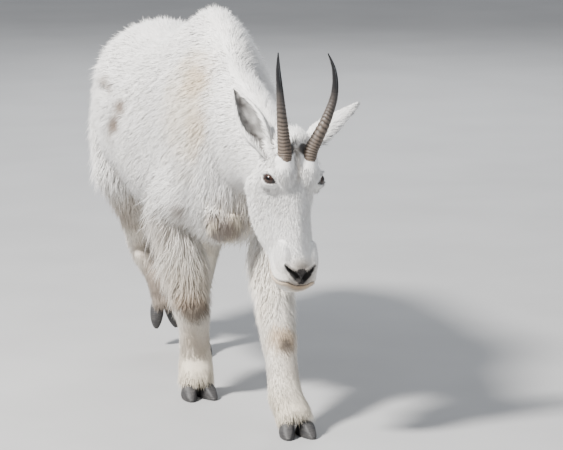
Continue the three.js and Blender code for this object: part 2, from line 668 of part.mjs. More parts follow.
// Fields of locks: a line inside the body, the arc about it in degrees (0 is the way `zero` points, more is
// towards the animal's left), rows along it, locks across it, the lie of the hair, and the locks' own size
const FIELDS = [
  { node: 'torso_front', line: [[0, -70, 600], [0, 185, 600]], zero: [0, 0, 1], arc: [-46, 46],
    rows: 6, across: 3, lie: [0, 1, -0.2], length: 64, wide: 18, thick: 6, lift: 0.03 },
  { node: 'torso_front', line: [[0, -30, 470], [0, 180, 470]], zero: [0, 0, 1], arc: [104, 152],
    rows: 4, across: 3, lie: [0.05, 0.5, -1], length: 70, wide: 18, thick: 5, lift: 0.1 },
  { node: 'torso_front', line: [[0, -30, 470], [0, 180, 470]], zero: [0, 0, 1], arc: [-152, -104],
    rows: 4, across: 3, lie: [-0.05, 0.5, -1], length: 70, wide: 18, thick: 5, lift: 0.1 },
  { node: 'torso_rear', line: [[0, 235, 580], [0, 590, 580]], zero: [0, 0, 1], arc: [-56, 56],
    rows: 5, across: 3, lie: [0, 1, -0.3], length: 64, wide: 18, thick: 6, lift: 0.04 },
  { node: 'torso_rear', line: [[0, 235, 470], [0, 430, 470]], zero: [0, 0, 1], arc: [102, 152],
    rows: 3, across: 3, lie: [0.05, 0.5, -1], length: 74, wide: 19, thick: 5, lift: 0.1 },
  { node: 'torso_rear', line: [[0, 235, 470], [0, 430, 470]], zero: [0, 0, 1], arc: [-152, -102],
    rows: 3, across: 3, lie: [-0.05, 0.5, -1], length: 74, wide: 19, thick: 5, lift: 0.1 },
  { node: 'torso_rear', line: [[0, 500, 560], [0, 600, 560]], zero: [0, 0, 1], arc: [64, 112],
    rows: 2, across: 2, lie: [0, 0.4, -1], length: 60, wide: 18, thick: 5, lift: 0.02 },
  { node: 'torso_rear', line: [[0, 500, 560], [0, 600, 560]], zero: [0, 0, 1], arc: [-112, -64],
    rows: 2, across: 2, lie: [0, 0.4, -1], length: 60, wide: 18, thick: 5, lift: 0.02 },
  { node: 'hind_right_leg_upper', line: [[-75, 470, 355], [-40, 556, 250]], zero: [0, 1, 0], arc: [-80, 60],
    rows: 4, across: 3, lie: [0.1, 0.5, -1], length: 56, wide: 15, thick: 4.5, lift: 0.08 },
  { node: 'hind_left_leg_upper', line: [[98, 390, 355], [96, 434, 250]], zero: [0, 1, 0], arc: [-60, 80],
    rows: 4, across: 3, lie: [0, 0.35, -1], length: 56, wide: 15, thick: 4.5, lift: 0.1 },
  { node: 'fore_right_leg_upper', line: [[-76, 22, 306], [-68, 6, 205]], zero: [0, 1, 0], arc: [-150, 100],
    rows: 5, across: 4, lie: [-0.3, 0.35, -1], length: 66, wide: 14, thick: 4.5, lift: 0.16 },
  { node: 'fore_left_leg_upper', line: [[60, -152, 300], [46, -240, 208]], zero: [0, 1, 0], arc: [-100, 150],
    rows: 5, across: 4, lie: [0, 0.15, -1], length: 56, wide: 14, thick: 4.5, lift: 0.14 },
  { node: 'breast_tuft', line: [[-34, -146, 412], [-40, -172, 368]], zero: [0, -1, 0], arc: [-100, 100],
    rows: 2, across: 5, lie: [0, -0.1, -1], length: 52, wide: 12, thick: 4.5, lift: 0.06 },
  { node: 'neck', line: [[8, -200, 570], [34, -285, 548]], zero: [0, 0, -1], arc: [-110, 110],
    rows: 2, across: 6, lie: [0, 0.5, -1], length: 50, wide: 14, thick: 4, lift: 0.06 },
  { node: 'tail', line: [[0, 664, 640], [0, 690, 565]], zero: [0, 1, 0], arc: [-100, 100],
    rows: 2, across: 3, lie: [0, 0.1, -1], length: 42, wide: 10, thick: 4, lift: 0.12 },
];
const LOCK_FLOOR = 12; // no lock comes lower
const LOCK_TRIES = [1, 0.78, 0.58]; // lengths, each tried where the one before it meets another body
const TOUCH = 1e-6; // mm3: less shared room than this is none

/** Whether a lock, one gap fatter, stays off every other body and the floor. */
function isFree(lock, name) {
  const fat = lockSolid(lock, GAP);
  const { min, max } = fat.boundingBox();
  if (min[2] < LOCK_FLOOR) return false;
  return [...parts].every(([other, { solid }]) => {
    if (other === name) return true;
    const box = solid.boundingBox();
    const apart = [0, 1, 2].some((k) => box.min[k] > max[k] || box.max[k] < min[k]);
    return apart || fat.intersect(solid).volume() < TOUCH;
  });
}

/** Locks of one field, each shortened or left out where it would meet another body. */
function dress(field, random) {
  const { solid, finish } = parts.get(field.node);
  const [from, to] = field.line.map(point);
  const axis = to.clone().sub(from).normalize();
  const zero = point(field.zero).addScaledVector(axis, -axis.dot(point(field.zero))).normalize();
  const locks = [];
  for (let r = 0; r < field.rows; r += 1) {
    for (let a = 0; a < field.across; a += 1) {
      const jitter = () => random() - 0.5;
      const along = (r + 0.5 + 0.5 * jitter()) / field.rows;
      const around = (a + 0.5 + 0.5 * ((r % 2) - 0.5) + 0.4 * jitter()) / field.across;
      const turn = THREE.MathUtils.degToRad(THREE.MathUtils.lerp(field.arc[0], field.arc[1], around));
      const skin = leaves(solid, from.clone().lerp(to, along), zero.clone().applyAxisAngle(axis, turn));
      const lie = point(field.lie).add(new THREE.Vector3(jitter(), jitter(), jitter()).multiplyScalar(0.35));
      const size = 0.85 + 0.3 * random();
      for (const shorter of LOCK_TRIES) {
        const lock = {
          ...skin, lie, length: field.length * size * shorter, wide: field.wide * size, thick: field.thick, lift: field.lift,
        };
        if (skin && isFree(lock, field.node)) {
          locks.push(lockSolid(lock));
          break;
        }
      }
    }
  }
  parts.set(field.node, { solid: largest(joinAll([solid, ...locks])), finish });
}

// Putting the animal together

const headLoft = settleOnHead(limb(HEAD, HEAD_STEPS, HEAD_SIDES, DOWN));
const headGrown = settleOnHead(limb(grown(HEAD), HEAD_STEPS, HEAD_SIDES, DOWN));
const flesh = joinAll([trunkSolid(), ...Object.values(legs), limb(NECK, NECK_STEPS, HEAD_SIDES), headLoft]);
const bodies = flesh.subtract(joinAll(cuts)).decompose();

const middleOf = (solid) => {
  const { min, max } = solid.boundingBox();
  return new THREE.Vector3(...[0, 1, 2].map((k) => (min[k] + max[k]) / 2));
};

const CRUMB = 1000; // mm3: smaller bodies are waste of the cuts

/** The parted body whose middle lies nearest to a place. */
function nearest(place) {
  const far = (solid) => middleOf(solid).distanceTo(place);
  return bodies.filter((b) => volumeOf(b) > CRUMB).sort((a, b) => far(a) - far(b))[0];
}

keep('torso_front', nearest(new THREE.Vector3(0, 10, 570)), COAT);
keep('torso_rear', nearest(new THREE.Vector3(0, 430, 550)), COAT);
keep('neck', nearest(new THREE.Vector3(20, -230, 570)), COAT);
keep('tail', limb(TAIL, 8, 10).subtract(trunkSolid(GAP)), COAT);
keep('breast_tuft', limb(TUFT, 8, 12).subtract(trunkSolid(GAP)).subtract(legsGrown.fore_right), WOOL);

let head = withFeatures(nearest(onHead(0, 60, -110)));
const BOTH_SIDES = [['right', -1], ['left', 1]];
for (const [label, side] of BOTH_SIDES) {
  head = head.subtract(settleOnHead(hornSolid(label, side, GAP)));
}
const [jaw, skull] = pieces(head.subtract(settleOnHead(mouthCut())), 2, (x, y, z) => z);
keep('head', skull, COAT);
keep('lower_jaw', jaw, COAT);

const neckGrown = limb(grown(NECK), NECK_STEPS, HEAD_SIDES);
for (const [label, side] of BOTH_SIDES) {
  const { root, reach, face, slim } = EARS[label];
  const ear = earSolid(root, root.clone().add(point(reach)), point(face).normalize(), slim);
  keep(`ear_${label}`, ear.subtract(headGrown).subtract(neckGrown), COAT);
  keep(`eye_${label}`, settleOnHead(ball(eyeCentre(side), Array(3).fill(EYE_RADIUS), undefined, EYE_DETAIL)), EYE);
  keep(`horn_${label}`, settleOnHead(hornSolid(label, side)), HORN);
}

for (const [name, joints] of Object.entries(LEG_JOINTS)) {
  const { mid, low, fetlock } = joints;
  keep(`${name}_leg_upper`, nearest(point(mid).lerp(point(low), 0.6)), LEG_COAT);
  keep(`${name}_leg_lower`, nearest(point(low).lerp(point(fetlock), 0.6)), LEG_COAT);
  for (const [label, solid] of Object.entries(footPieces(name))) {
    keep(`${name}_${label}`, solid.subtract(legsGrown[name]), HOOF);
  }
}

const random = dice(7);
for (const field of FIELDS) dress(field, random);
for (const [name, { solid, finish }] of parts) addNode(name, solid, finish);

export default goat;
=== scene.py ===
"""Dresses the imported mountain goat: one skin under a coat of tufts, with its eyes, horns and hooves.

Sizes are millimetres in the frame that the solids were drawn in: +X is the animal's left, -Y the way it
walks, +Z up. `settle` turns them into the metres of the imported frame. The head has a frame of its own:
-Y comes out of the face and +Z runs up from the nose to the horns.
"""

from __future__ import annotations

import json
import logging
import math
from dataclasses import dataclass, field, fields
from enum import Enum

import bpy
import numpy as np
from mathutils import Matrix, Vector
from mathutils.kdtree import KDTree

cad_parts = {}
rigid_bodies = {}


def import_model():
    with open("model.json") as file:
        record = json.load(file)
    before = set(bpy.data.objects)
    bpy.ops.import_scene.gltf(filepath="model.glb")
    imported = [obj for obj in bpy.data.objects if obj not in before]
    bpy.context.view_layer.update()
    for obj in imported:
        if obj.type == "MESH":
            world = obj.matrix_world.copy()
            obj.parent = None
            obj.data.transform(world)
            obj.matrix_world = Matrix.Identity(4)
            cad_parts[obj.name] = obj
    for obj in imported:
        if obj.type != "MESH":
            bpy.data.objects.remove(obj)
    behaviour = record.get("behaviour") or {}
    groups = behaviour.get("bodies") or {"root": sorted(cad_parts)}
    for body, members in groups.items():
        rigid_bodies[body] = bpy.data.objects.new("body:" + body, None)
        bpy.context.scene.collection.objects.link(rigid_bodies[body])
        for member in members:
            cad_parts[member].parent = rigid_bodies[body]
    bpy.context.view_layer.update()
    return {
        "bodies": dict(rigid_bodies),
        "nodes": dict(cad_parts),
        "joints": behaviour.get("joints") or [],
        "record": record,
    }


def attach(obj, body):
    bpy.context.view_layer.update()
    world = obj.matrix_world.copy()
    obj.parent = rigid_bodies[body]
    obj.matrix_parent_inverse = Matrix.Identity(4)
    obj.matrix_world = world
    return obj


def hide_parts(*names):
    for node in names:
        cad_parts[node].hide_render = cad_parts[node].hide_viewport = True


log = logging.getLogger("goat")

Points = np.ndarray
Triple = tuple[float, float, float]
Faces = list[tuple[int, ...]]
Object = bpy.types.Object
Socket = bpy.types.NodeSocket
# Millimetres in a metre
MM = 1000.0
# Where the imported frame's origin is in the drawing frame
CENTRE = np.array([2.0, 124.0, 0.0])
# The one body that every piece rides
BODY = "root"
# Each side of the animal, and the sign of x there
SIDES: dict[str, int] = {"right": -1, "left": 1}
RNG = np.random.default_rng(20)
# What a distance reads where a place is well away from what is measured
FAR_OFF = 9.0


def settle(points: Points) -> Points:
    """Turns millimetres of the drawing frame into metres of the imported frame."""
    return (points - CENTRE) / MM


def unit(vectors: Points) -> Points:
    """Scales vectors along the last axis to length one."""
    return vectors / np.maximum(np.linalg.norm(vectors, axis=-1, keepdims=True), 1e-9)


def smoothstep(low: float, high: float, value: Points) -> Points:
    """Eases a value from 0 at `low` to 1 at `high`, which may be the smaller of the two."""
    t = np.clip((np.asarray(value, float) - low) / (high - low), 0.0, 1.0)
    return t * t * (3.0 - 2.0 * t)


def hump(off: Points) -> Points:
    """A soft bump that is 1 where `off` is 0, and nearly gone where it is 2."""
    return np.exp(-(off ** 2))


def circle(sides: int) -> Points:
    """Angles of places set evenly round a ring."""
    return 2 * np.pi * np.arange(sides) / sides


def folded(q: Points) -> Points:
    """Lays both halves of the head's frame on its left half."""
    return np.stack([np.abs(q[:, 0]), q[:, 1], q[:, 2]], axis=1)


def lattice_noise(points: Points, scale: float, seed: int = 0) -> Points:
    """Smooth value noise in space.

    Args:
        points: Places, one a row.
        scale: Distance over which the noise changes.
        seed: Picks another noise of the same kind.

    Returns:
        One value from -1 to 1 for each place.
    """
    q = points / scale + 100.0
    cell = np.floor(q).astype(np.int64)
    f = q - cell
    f = f * f * (3.0 - 2.0 * f)
    total = np.zeros(len(points))
    for corner in np.ndindex(2, 2, 2):
        c = cell + np.array(corner)
        h = (c[:, 0] * 73856093) ^ (c[:, 1] * 19349663) ^ (c[:, 2] * 83492791) ^ (seed * 2654435761)
        h = (h ^ (h >> 13)) * 1274126177 & 0xFFFFFFFF
        w = np.prod(np.where(np.array(corner) == 1, f, 1.0 - f), axis=1)
        total += w * ((h ^ (h >> 16)) & 0xFFFF) / 32767.5
    return total - 1.0


def ease_rows(rows: Points, count: int) -> Points:
    """Reads a table of stations at even steps, every value eased between its rows.

    Args:
        rows: The table, one station a row.
        count: How many steps to read.

    Returns:
        The eased table, `count` rows long.
    """
    last = len(rows) - 1
    at = np.linspace(0.0, last, count)
    k = np.minimum(at.astype(int), last - 1)
    f = (at - k)[:, None]
    a, b, c, d = rows[np.maximum(k - 1, 0)], rows[k], rows[k + 1], rows[np.minimum(k + 2, last)]
    rise, fall = (c - a) / 2.0, (d - b) / 2.0
    return ((2.0 * (b - c) + rise + fall) * f + 3.0 * (c - b) - 2.0 * rise - fall) * f * f + rise * f + b


def ring_mesh(rings: Points) -> tuple[Points, Faces]:
    """Joins rings of equal count into a closed surface.

    Args:
        rings: Places as (rings, sides, 3).

    Returns:
        The vertices and the faces, each end closed on its middle.
    """
    count, sides = rings.shape[:2]
    ends = np.stack([rings[0].mean(axis=0), rings[-1].mean(axis=0)])
    turns = [(k, (k + 1) % sides) for k in range(sides)]
    first, last, top = count * sides, count * sides + 1, (count - 1) * sides
    faces = [(r + a, r + a + sides, r + b + sides, r + b) for r in range(0, top, sides) for a, b in turns]
    for a, b in turns:
        faces += [(first, a, b), (last, top + b, top + a)]
    return np.concatenate([rings.reshape(-1, 3), ends]), faces


# The head's own frame


@dataclass(frozen=True)
class HeadPose:
    """Where the head is: the place between the horns, and its turn, nod and tilt in degrees."""

    at: Triple = (39.0, -430.0, 566.0)
    turn: float = 4.0
    nod: float = -11.0
    tilt: float = 3.5
    lean: float = 0.029
    lean_from: float = -45.0
    swing: float = 0.20
    swing_from: float = 28.0

    def matrix(self) -> Points:
        """Rotation from the head's frame to the animal's."""
        turned = (
            Matrix.Rotation(math.radians(self.turn), 3, "Z")
            @ Matrix.Rotation(math.radians(self.nod), 3, "X")
            @ Matrix.Rotation(math.radians(self.tilt), 3, "Y")
        )
        return np.array(turned)

    def shift(self, q: Points) -> Points:
        """How far to the side the nose and the jaw are turned, at places in the head's frame."""
        jaw = np.maximum(q[:, 1] - self.swing_from, 0.0) * smoothstep(-5.0, -60.0, q[:, 2])
        return self.lean * np.maximum(self.lean_from - q[:, 2], 0.0) - self.swing * jaw

    def out(self, points: Points) -> Points:
        """Places given in the head's frame, in the animal's."""
        moved = points.copy()
        moved[:, 0] += self.shift(points)
        return moved @ self.matrix().T + np.array(self.at)

    def way(self, vectors: Points) -> Points:
        """Directions given in the head's frame, in the animal's."""
        return vectors @ self.matrix().T

    def into(self, points: Points) -> Points:
        """Places given in the animal's frame, in the head's."""
        q = (points - np.array(self.at)) @ self.matrix()
        q[:, 0] -= self.shift(q)
        return q


HEAD = HeadPose()


# Colours of the coat


class Tone(Enum):
    """Colours of the hair and skin, linear, and of the shade painted on them."""

    WHITE = (0.90, 0.89, 0.875)
    CREAM = (0.80, 0.705, 0.55)
    # Grey-brown: dust and the nose's own grey, and painted shade in the forehead's groove, under the neck, on
    # the belly's sides and on the right forearm
    DUST = (0.50, 0.42, 0.33)
    PEACH = (0.53, 0.39, 0.25)
    TAN = (0.55, 0.40, 0.26)
    # Brown: winter wool and stains, and painted shade in the flank's hollows, under the clump on the rump and
    # in the elbow's crease
    WOOL = (0.20, 0.135, 0.09)
    # Painted shade, for the raised hind foot that stands in shadow
    SHADE = (0.23, 0.185, 0.15)
    DIRT = (0.09, 0.07, 0.055)
    NOSE = (0.15, 0.14, 0.138)
    DARK = (0.035, 0.03, 0.027)
    EAR = (0.04, 0.034, 0.031)
    PAD = (0.020, 0.017, 0.016)
    HOLE = (0.012, 0.010, 0.009)


@dataclass(frozen=True)
class Patch:
    """A soft-edged ellipsoid of colour on the coat: most are markings and dust, and some are painted shade.
    """

    centre: Triple
    radii: Triple
    tone: Tone
    strength: float

    def weight(self, points: Points) -> Points:
        """How much of this colour each place takes, from 0 to 1."""
        far = np.linalg.norm((points - np.array(self.centre)) / np.array(self.radii), axis=1)
        far = far + 0.22 * lattice_noise(points, 24.0, 5) + 0.12 * lattice_noise(points, 9.0, 6)
        return self.strength * smoothstep(1.15, 0.35, far)


BODY_PATCHES: list[Patch] = [
    Patch((-70, -84, 682), (40, 70, 66), Tone.PEACH, 0.95),
    Patch((-80, -120, 600), (30, 50, 84), Tone.PEACH, 0.65),
    Patch((-80, -60, 620), (64, 110, 150), Tone.CREAM, 0.6),
    # Brown in the flank's hollows where winter wool has gone: partly the brown of the wool, partly painted
    # shade in the hollows
    Patch((-160, 220, 578), (80, 40, 22), Tone.WOOL, 0.85),
    Patch((-168, 250, 536), (80, 34, 22), Tone.WOOL, 0.9),
    Patch((-166, 236, 553), (80, 22, 26), Tone.WOOL, 0.6),
    Patch((-170, 262, 520), (80, 20, 22), Tone.WOOL, 0.5),
    # Brown under the clump of wool that hangs on the rump: partly brown wool, partly painted shadow under the
    # clump
    Patch((-163, 345, 604), (80, 80, 19), Tone.WOOL, 0.8),
    Patch((-160, 372, 604), (18, 30, 22), Tone.WOOL, 0.45),
    Patch((-120, 508, 651), (18, 22, 20), Tone.TAN, 0.35),
    Patch((-120, 452, 330), (70, 100, 62), Tone.DUST, 0.7),
    Patch((-100, 470, 290), (50, 70, 60), Tone.WOOL, 0.45),
    Patch((-40, -172, 388), (62, 52, 44), Tone.WOOL, 0.8),
    # Grey-brown at the foot of the neck: partly dust, partly painted shade under the neck
    Patch((-10, -176, 430), (64, 44, 44), Tone.DUST, 0.55),
    # Brown in the crease at the right elbow: partly a stain, partly painted shade in the crease
    Patch((-98, -64, 404), (22, 34, 26), Tone.WOOL, 0.6),
    # Grey-brown low on the right flank: partly dust, partly painted shade on the belly's side
    Patch((-140, 330, 400), (50, 70, 60), Tone.DUST, 0.45),
    Patch((-76, -30, 204), (50, 46, 44), Tone.WOOL, 0.95),
    Patch((-76, -44, 184), (34, 44, 34), Tone.DIRT, 1.0),
    Patch((-62, 2, 130), (50, 50, 74), Tone.DUST, 0.85),
    Patch((43, -310, 178), (42, 36, 40), Tone.TAN, 0.85),
    Patch((43, -328, 170), (20, 28, 24), Tone.DIRT, 0.95),
    # Grey-brown on the right forearm: partly dust, partly painted shade
    Patch((-72, 0, 250), (60, 60, 60), Tone.DUST, 0.5),
    Patch((40, -330, 120), (50, 50, 50), Tone.DUST, 0.3),
    # Grey-brown low on the right side behind the forelegs: partly dust, partly painted shade on the belly's
    # side
    Patch((-120, 60, 360), (70, 110, 60), Tone.DUST, 0.45),
    # Painted shade over the raised hind foot, which is in shadow
    Patch((-4, 484, 150), (90, 120, 100), Tone.SHADE, 0.95),
    Patch((-20, 560, 235), (50, 50, 60), Tone.DUST, 0.6),
    Patch((94, 440, 230), (50, 50, 60), Tone.CREAM, 0.6),
]


@dataclass(frozen=True)
class Swell:
    """A soft-edged place on the fleece that is changed by some millimetres."""

    centre: Triple
    radii: Triple
    change: float

    def at(self, points: Points) -> Points:
        """The change at each place."""
        off = (points - np.array(self.centre)) / np.array(self.radii)
        return self.change * np.exp(-(off ** 2).sum(axis=-1))


# How far the skin stands out where winter wool hangs or has gone
FLEECE_SHAPE: list[Swell] = [
    Swell((-150, 430, 626), (40, 60, 22), 8.0),
    Swell((-168, 390, 590), (40, 80, 13), -15.0),
    Swell((-163, 206, 571), (22, 22, 18), -9.0),
    Swell((-172, 232, 533), (20, 20, 16), -8.0),
    Swell((-158, 436, 400), (40, 60, 26), 8.0),
    Swell((-130, 300, 440), (50, 40, 60), -6.0),
]
# How much longer and looser its hair is
FLEECE_LENGTH: list[Swell] = [
    Swell((-112, 438, 674), (34, 60, 26), 22.0),
    Swell((-150, 420, 622), (40, 70, 24), 18.0),
    Swell((-160, 440, 402), (40, 70, 30), 18.0),
    Swell((-162, 222, 572), (34, 30, 18), -15.0),
    Swell((-172, 246, 535), (34, 28, 16), -14.0),
    Swell((-168, 380, 590), (40, 80, 12), -14.0),
]


def plain(count: int, tone: Tone = Tone.WHITE) -> Points:
    """One tone for every place."""
    return np.tile(np.array(tone.value), (count, 1))


def mixed(base: Points, tone: Tone, weight: Points) -> Points:
    """Lays a tone over a row of colours by a weight for each."""
    w = np.clip(weight, 0.0, 1.0)[:, None]
    return base * (1.0 - w) + np.array(tone.value) * w


def body_tint(points: Points) -> Points:
    """Colour of the coat on the trunk, neck and legs, with painted shade in some places.

    Args:
        points: Places in the drawing frame.

    Returns:
        One linear colour for each place.
    """
    tint = plain(len(points))
    # Creamier towards the bottom: partly the yellower hair low on the body and legs, partly painted shade
    # there
    low = smoothstep(430.0, 250.0, points[:, 2]) * (0.75 + 0.3 * lattice_noise(points, 60.0, 1))
    tint = mixed(tint, Tone.CREAM, 0.75 * low)
    tint = mixed(tint, Tone.CREAM, 0.8 * smoothstep(130.0, 60.0, points[:, 2]))
    for patch in BODY_PATCHES:
        tint = mixed(tint, patch.tone, patch.weight(points))
    off_breast = (points - np.array([-40.0, -172.0, 390.0])) / np.array([75.0, 60.0, 60.0])
    from_breast = np.linalg.norm(off_breast, axis=1)
    curl = smoothstep(0.05, 0.5, lattice_noise(points, 13.0, 8)) * smoothstep(1.3, 0.7, from_breast)
    tint = mixed(tint, Tone.CREAM, 0.75 * curl)
    cloud = 0.05 * lattice_noise(points, 70.0, 2) + 0.03 * lattice_noise(points, 22.0, 3)
    return tint * (1.0 + cloud)[:, None]


def head_tint(points: Points) -> Points:
    """Colour of the coat and bare skin on the head, with painted shade down the groove of the forehead.

    Args:
        points: Places in the drawing frame.

    Returns:
        One linear colour for each place.
    """
    q = HEAD.into(points)
    half = folded(q)
    x, y, z = half.T
    far, below = Face.mouth(q)
    tint = plain(len(points))
    for tone, weight in (
        (Tone.CREAM, 0.3 * smoothstep(-190.0, -240.0, z)),
        (Tone.DUST, 0.85 * hump(x / 24.0) * smoothstep(-188.0, -222.0, z) * (y < Face.FRONT)),
        (Tone.NOSE, 0.85 * hump(x / 21.0) * smoothstep(-200.0, -228.0, z) * (y < 30)),
        (Tone.TAN, 0.65 * smoothstep(-1.0, 2.0, below) * smoothstep(13.0, 5.0, far)),
        (Tone.TAN, 0.35 * smoothstep(4.5, 2.0, far)),
        (Tone.DARK, 0.9 * smoothstep(2.0, 0.9, far)),
        (Tone.PAD, Face.pad(q)),
        (Tone.HOLE, smoothstep(1.28, 0.98, Face.nostril(q))),
        (Tone.DARK, 0.95 * smoothstep(1.15, 0.8, Face.gland(half))),
        (Tone.DARK, 0.95 * smoothstep(1.16, 1.06, EYE.opening(half, 1)[0])),
        # Painted shade down the groove between the swellings under the horns
        (Tone.DUST, 0.6 * hump(x / 5.0) * smoothstep(-62.0, -30.0, z) * smoothstep(24.0, 6.0, z)),
    ):
        tint = mixed(tint, tone, weight)
    fleck = 0.05 * lattice_noise(points, 26.0, 4) + 0.05 * lattice_noise(points, 7.0, 5)
    return tint * (1.0 + fleck)[:, None]


# The eye and its lids


@dataclass(frozen=True)
class EyePlace:
    """Where the eyeballs are in the head's frame, how big, and how the lids open over them."""

    out: float = 46.0
    back: float = 30.5
    level: float = -49.0
    radius: float = 15.0
    dome: float = 20.6
    sink: float = 3.6
    half_long: float = 15.8
    half_high: float = 9.6
    slant: float = 34.0
    point: float = 0.34

    def centre(self, side: int) -> Points:
        """Middle of one eyeball."""
        return np.array([side * self.out, self.back, self.level])

    def axes(self, side: int) -> tuple[Points, Points, Points]:
        """Toward the inner corner, toward the brow and out of one eye, in the head's frame."""
        look = unit(np.array([side * 0.75, -0.65, 0.10]))
        up = unit(np.array([0.0, 0.0, 1.0]) - look * look[2])
        nose = np.array([0.0, -1.0, 0.0])
        nose = unit(nose - look * (nose @ look) - up * (nose @ up))
        cos, sin = math.cos(math.radians(self.slant)), math.sin(math.radians(self.slant))
        return nose * cos - up * sin, nose * sin + up * cos, look

    def opening(self, points: Points, side: int) -> tuple[Points, Points]:
        """Reads how far places are from the middle of the opening between the lids.

        Args:
            points: Places in the head's frame.
            side: Which eye.

        Returns:
            A distance that is 1 on the outline, and how high above the corners each place is.
        """
        corner, brow, look = self.axes(side)
        off = points - self.centre(side)
        a = off @ corner / self.half_long
        b = off @ brow / self.half_high
        far = np.hypot(a, b / (1.0 - self.point * np.minimum(a * a, 1.0)))
        beside = (off @ look <= 0) | (np.linalg.norm(off, axis=1) > 2 * self.radius)
        return np.where(beside, FAR_OFF, far), b


EYE = EyePlace()


class Face:
    """Forms of the face in the head's frame, read by the carving, the colours and the hair."""

    NOSTRIL = np.array([(30, -214.5), (23.5, -223), (15, -232), (7.5, -240.5)], float)
    NOSTRIL_SIZE = (2.3, 4.0, 5.8, 5.4)
    MOUTH = np.array([(4, -255), (22, -254), (36, -249), (48, -238), (58, -222), (66, -203)], float)
    PAD_Z = (-252.0, -246.0, -237.0, -228.0, -222.0)
    PAD_WIDE = (4.0, 9.0, 14.0, 14.0, 5.0)
    FRONT = 36.0

    @staticmethod
    def gland(half: Points) -> Points:
        """Distance from the middle of the dark gland that lies round the back of a horn, 1 on its edge."""
        return np.linalg.norm((half - np.array([26.0, 15.0, 9.0])) / np.array([24.5, 17.0, 16.0]), axis=1)

    @classmethod
    def nostril(cls, q: Points) -> Points:
        """Distance from the line of the nostrils by their own half width, far away behind the nose."""
        path = ease_rows(cls.NOSTRIL, 24)
        size = np.interp(np.linspace(0, 3, 24), range(4), cls.NOSTRIL_SIZE)
        off = np.stack([np.abs(q[:, 0]), q[:, 2]], axis=1)[:, None, :] - path[None]
        far = (np.linalg.norm(off, axis=2) / size).min(axis=1)
        return np.where(q[:, 1] < cls.FRONT, far, FAR_OFF)

    @classmethod
    def mouth(cls, q: Points) -> tuple[Points, Points]:
        """Distance from the line between the lips in millimetres, and how far below it each place is."""
        path = ease_rows(cls.MOUTH, 60)
        level = q[:, 2] - 0.012 * np.minimum(np.abs(q[:, 0]), 24.0) ** 2
        off = np.stack([q[:, 1], level], axis=1)[:, None, :] - path[None]
        far = np.linalg.norm(off, axis=2)
        nearest = far.argmin(axis=1)
        slope = np.gradient(path, axis=0)
        under = unit(np.stack([slope[:, 1], -slope[:, 0]], axis=1))
        below = (off[np.arange(len(q)), nearest] * under[nearest]).sum(axis=1)
        return far.min(axis=1), below

    @classmethod
    def pad(cls, q: Points) -> Points:
        """How much each place belongs to the bare skin between the nostrils, from 0 to 1."""
        wide = np.interp(q[:, 2], cls.PAD_Z, cls.PAD_WIDE, left=0.0, right=0.0)
        return smoothstep(1.5, -0.5, np.abs(q[:, 0]) - wide) * (q[:, 1] < cls.FRONT) * (wide > 0)


# Forms of the skin: each part is a row of rings with the growth of its hair


@dataclass
class Part:
    """One lofted form of the body, with the depth and lie of the hair that grows on it."""

    name: str
    rings: Points
    centre: Points
    along: Points
    across: Points
    fore: Points
    coat: Points
    hair: Points
    wide: Points
    lie: Points
    fill: Points


def spread(values: Points, sides: int) -> Points:
    """Repeats one value a ring for every side of it."""
    return np.repeat(np.asarray(values, float)[:, None], sides, axis=1)


def ring_frames(centre: Points) -> tuple[Points, Points, Points]:
    """Directions along, across and fore at each station of a path."""
    ahead = np.concatenate([centre[1:], centre[-1:]])
    behind = np.concatenate([centre[:1], centre[:-1]])
    along = unit(ahead - behind)
    across = unit(np.array([1.0, 0.0, 0.0]) - along * along[:, :1])
    return along, across, np.cross(along, across)


def limb_part(
    name: str, rows: Points, steps: int, sides: int, fill: float = 6.0, along: Triple | None = None
) -> Part:
    """Lofts a limb, neck or tail from its stations.

    Args:
        name: The part's name.
        rows: The stations: x, y, z, wide, front, back, crest, coat depth, hair length, tuft width.
        steps: Rings along it.
        sides: Points round each ring.
        fill: How many tufts lie over each place.
        along: The one direction that every ring faces, or None where they follow the path.

    Returns:
        The part, with its hair lying along it.
    """
    table = ease_rows(rows, steps)
    centre = table[:, :3]
    path = centre if along is None else np.arange(steps)[:, None] * np.array(along)
    along, across, fore = ring_frames(path)
    sin, cos = np.sin(circle(sides))[None, :], np.cos(circle(sides))[None, :]
    wide, front, back, crest, coat = (table[:, k][:, None] for k in (3, 4, 5, 6, 7))
    reach = np.where(cos > 0, front, back)
    narrow = 1.0 - crest * np.maximum(cos, 0.0) ** 2
    bare_wide = np.maximum(wide * narrow - coat, wide * 0.3)
    bare_reach = np.maximum(reach - coat, reach * 0.3)
    rings = (
        centre[:, None, :]
        + across[:, None, :] * (bare_wide * sin)[:, :, None]
        + fore[:, None, :] * (bare_reach * cos)[:, :, None]
    )
    lie = np.repeat(along[:, None, :], sides, axis=1)
    return Part(
        name, rings, centre, along, across, fore, spread(table[:, 7], sides), spread(table[:, 8], sides),
        spread(table[:, 9], sides), lie, np.full((steps, sides), fill),
    )


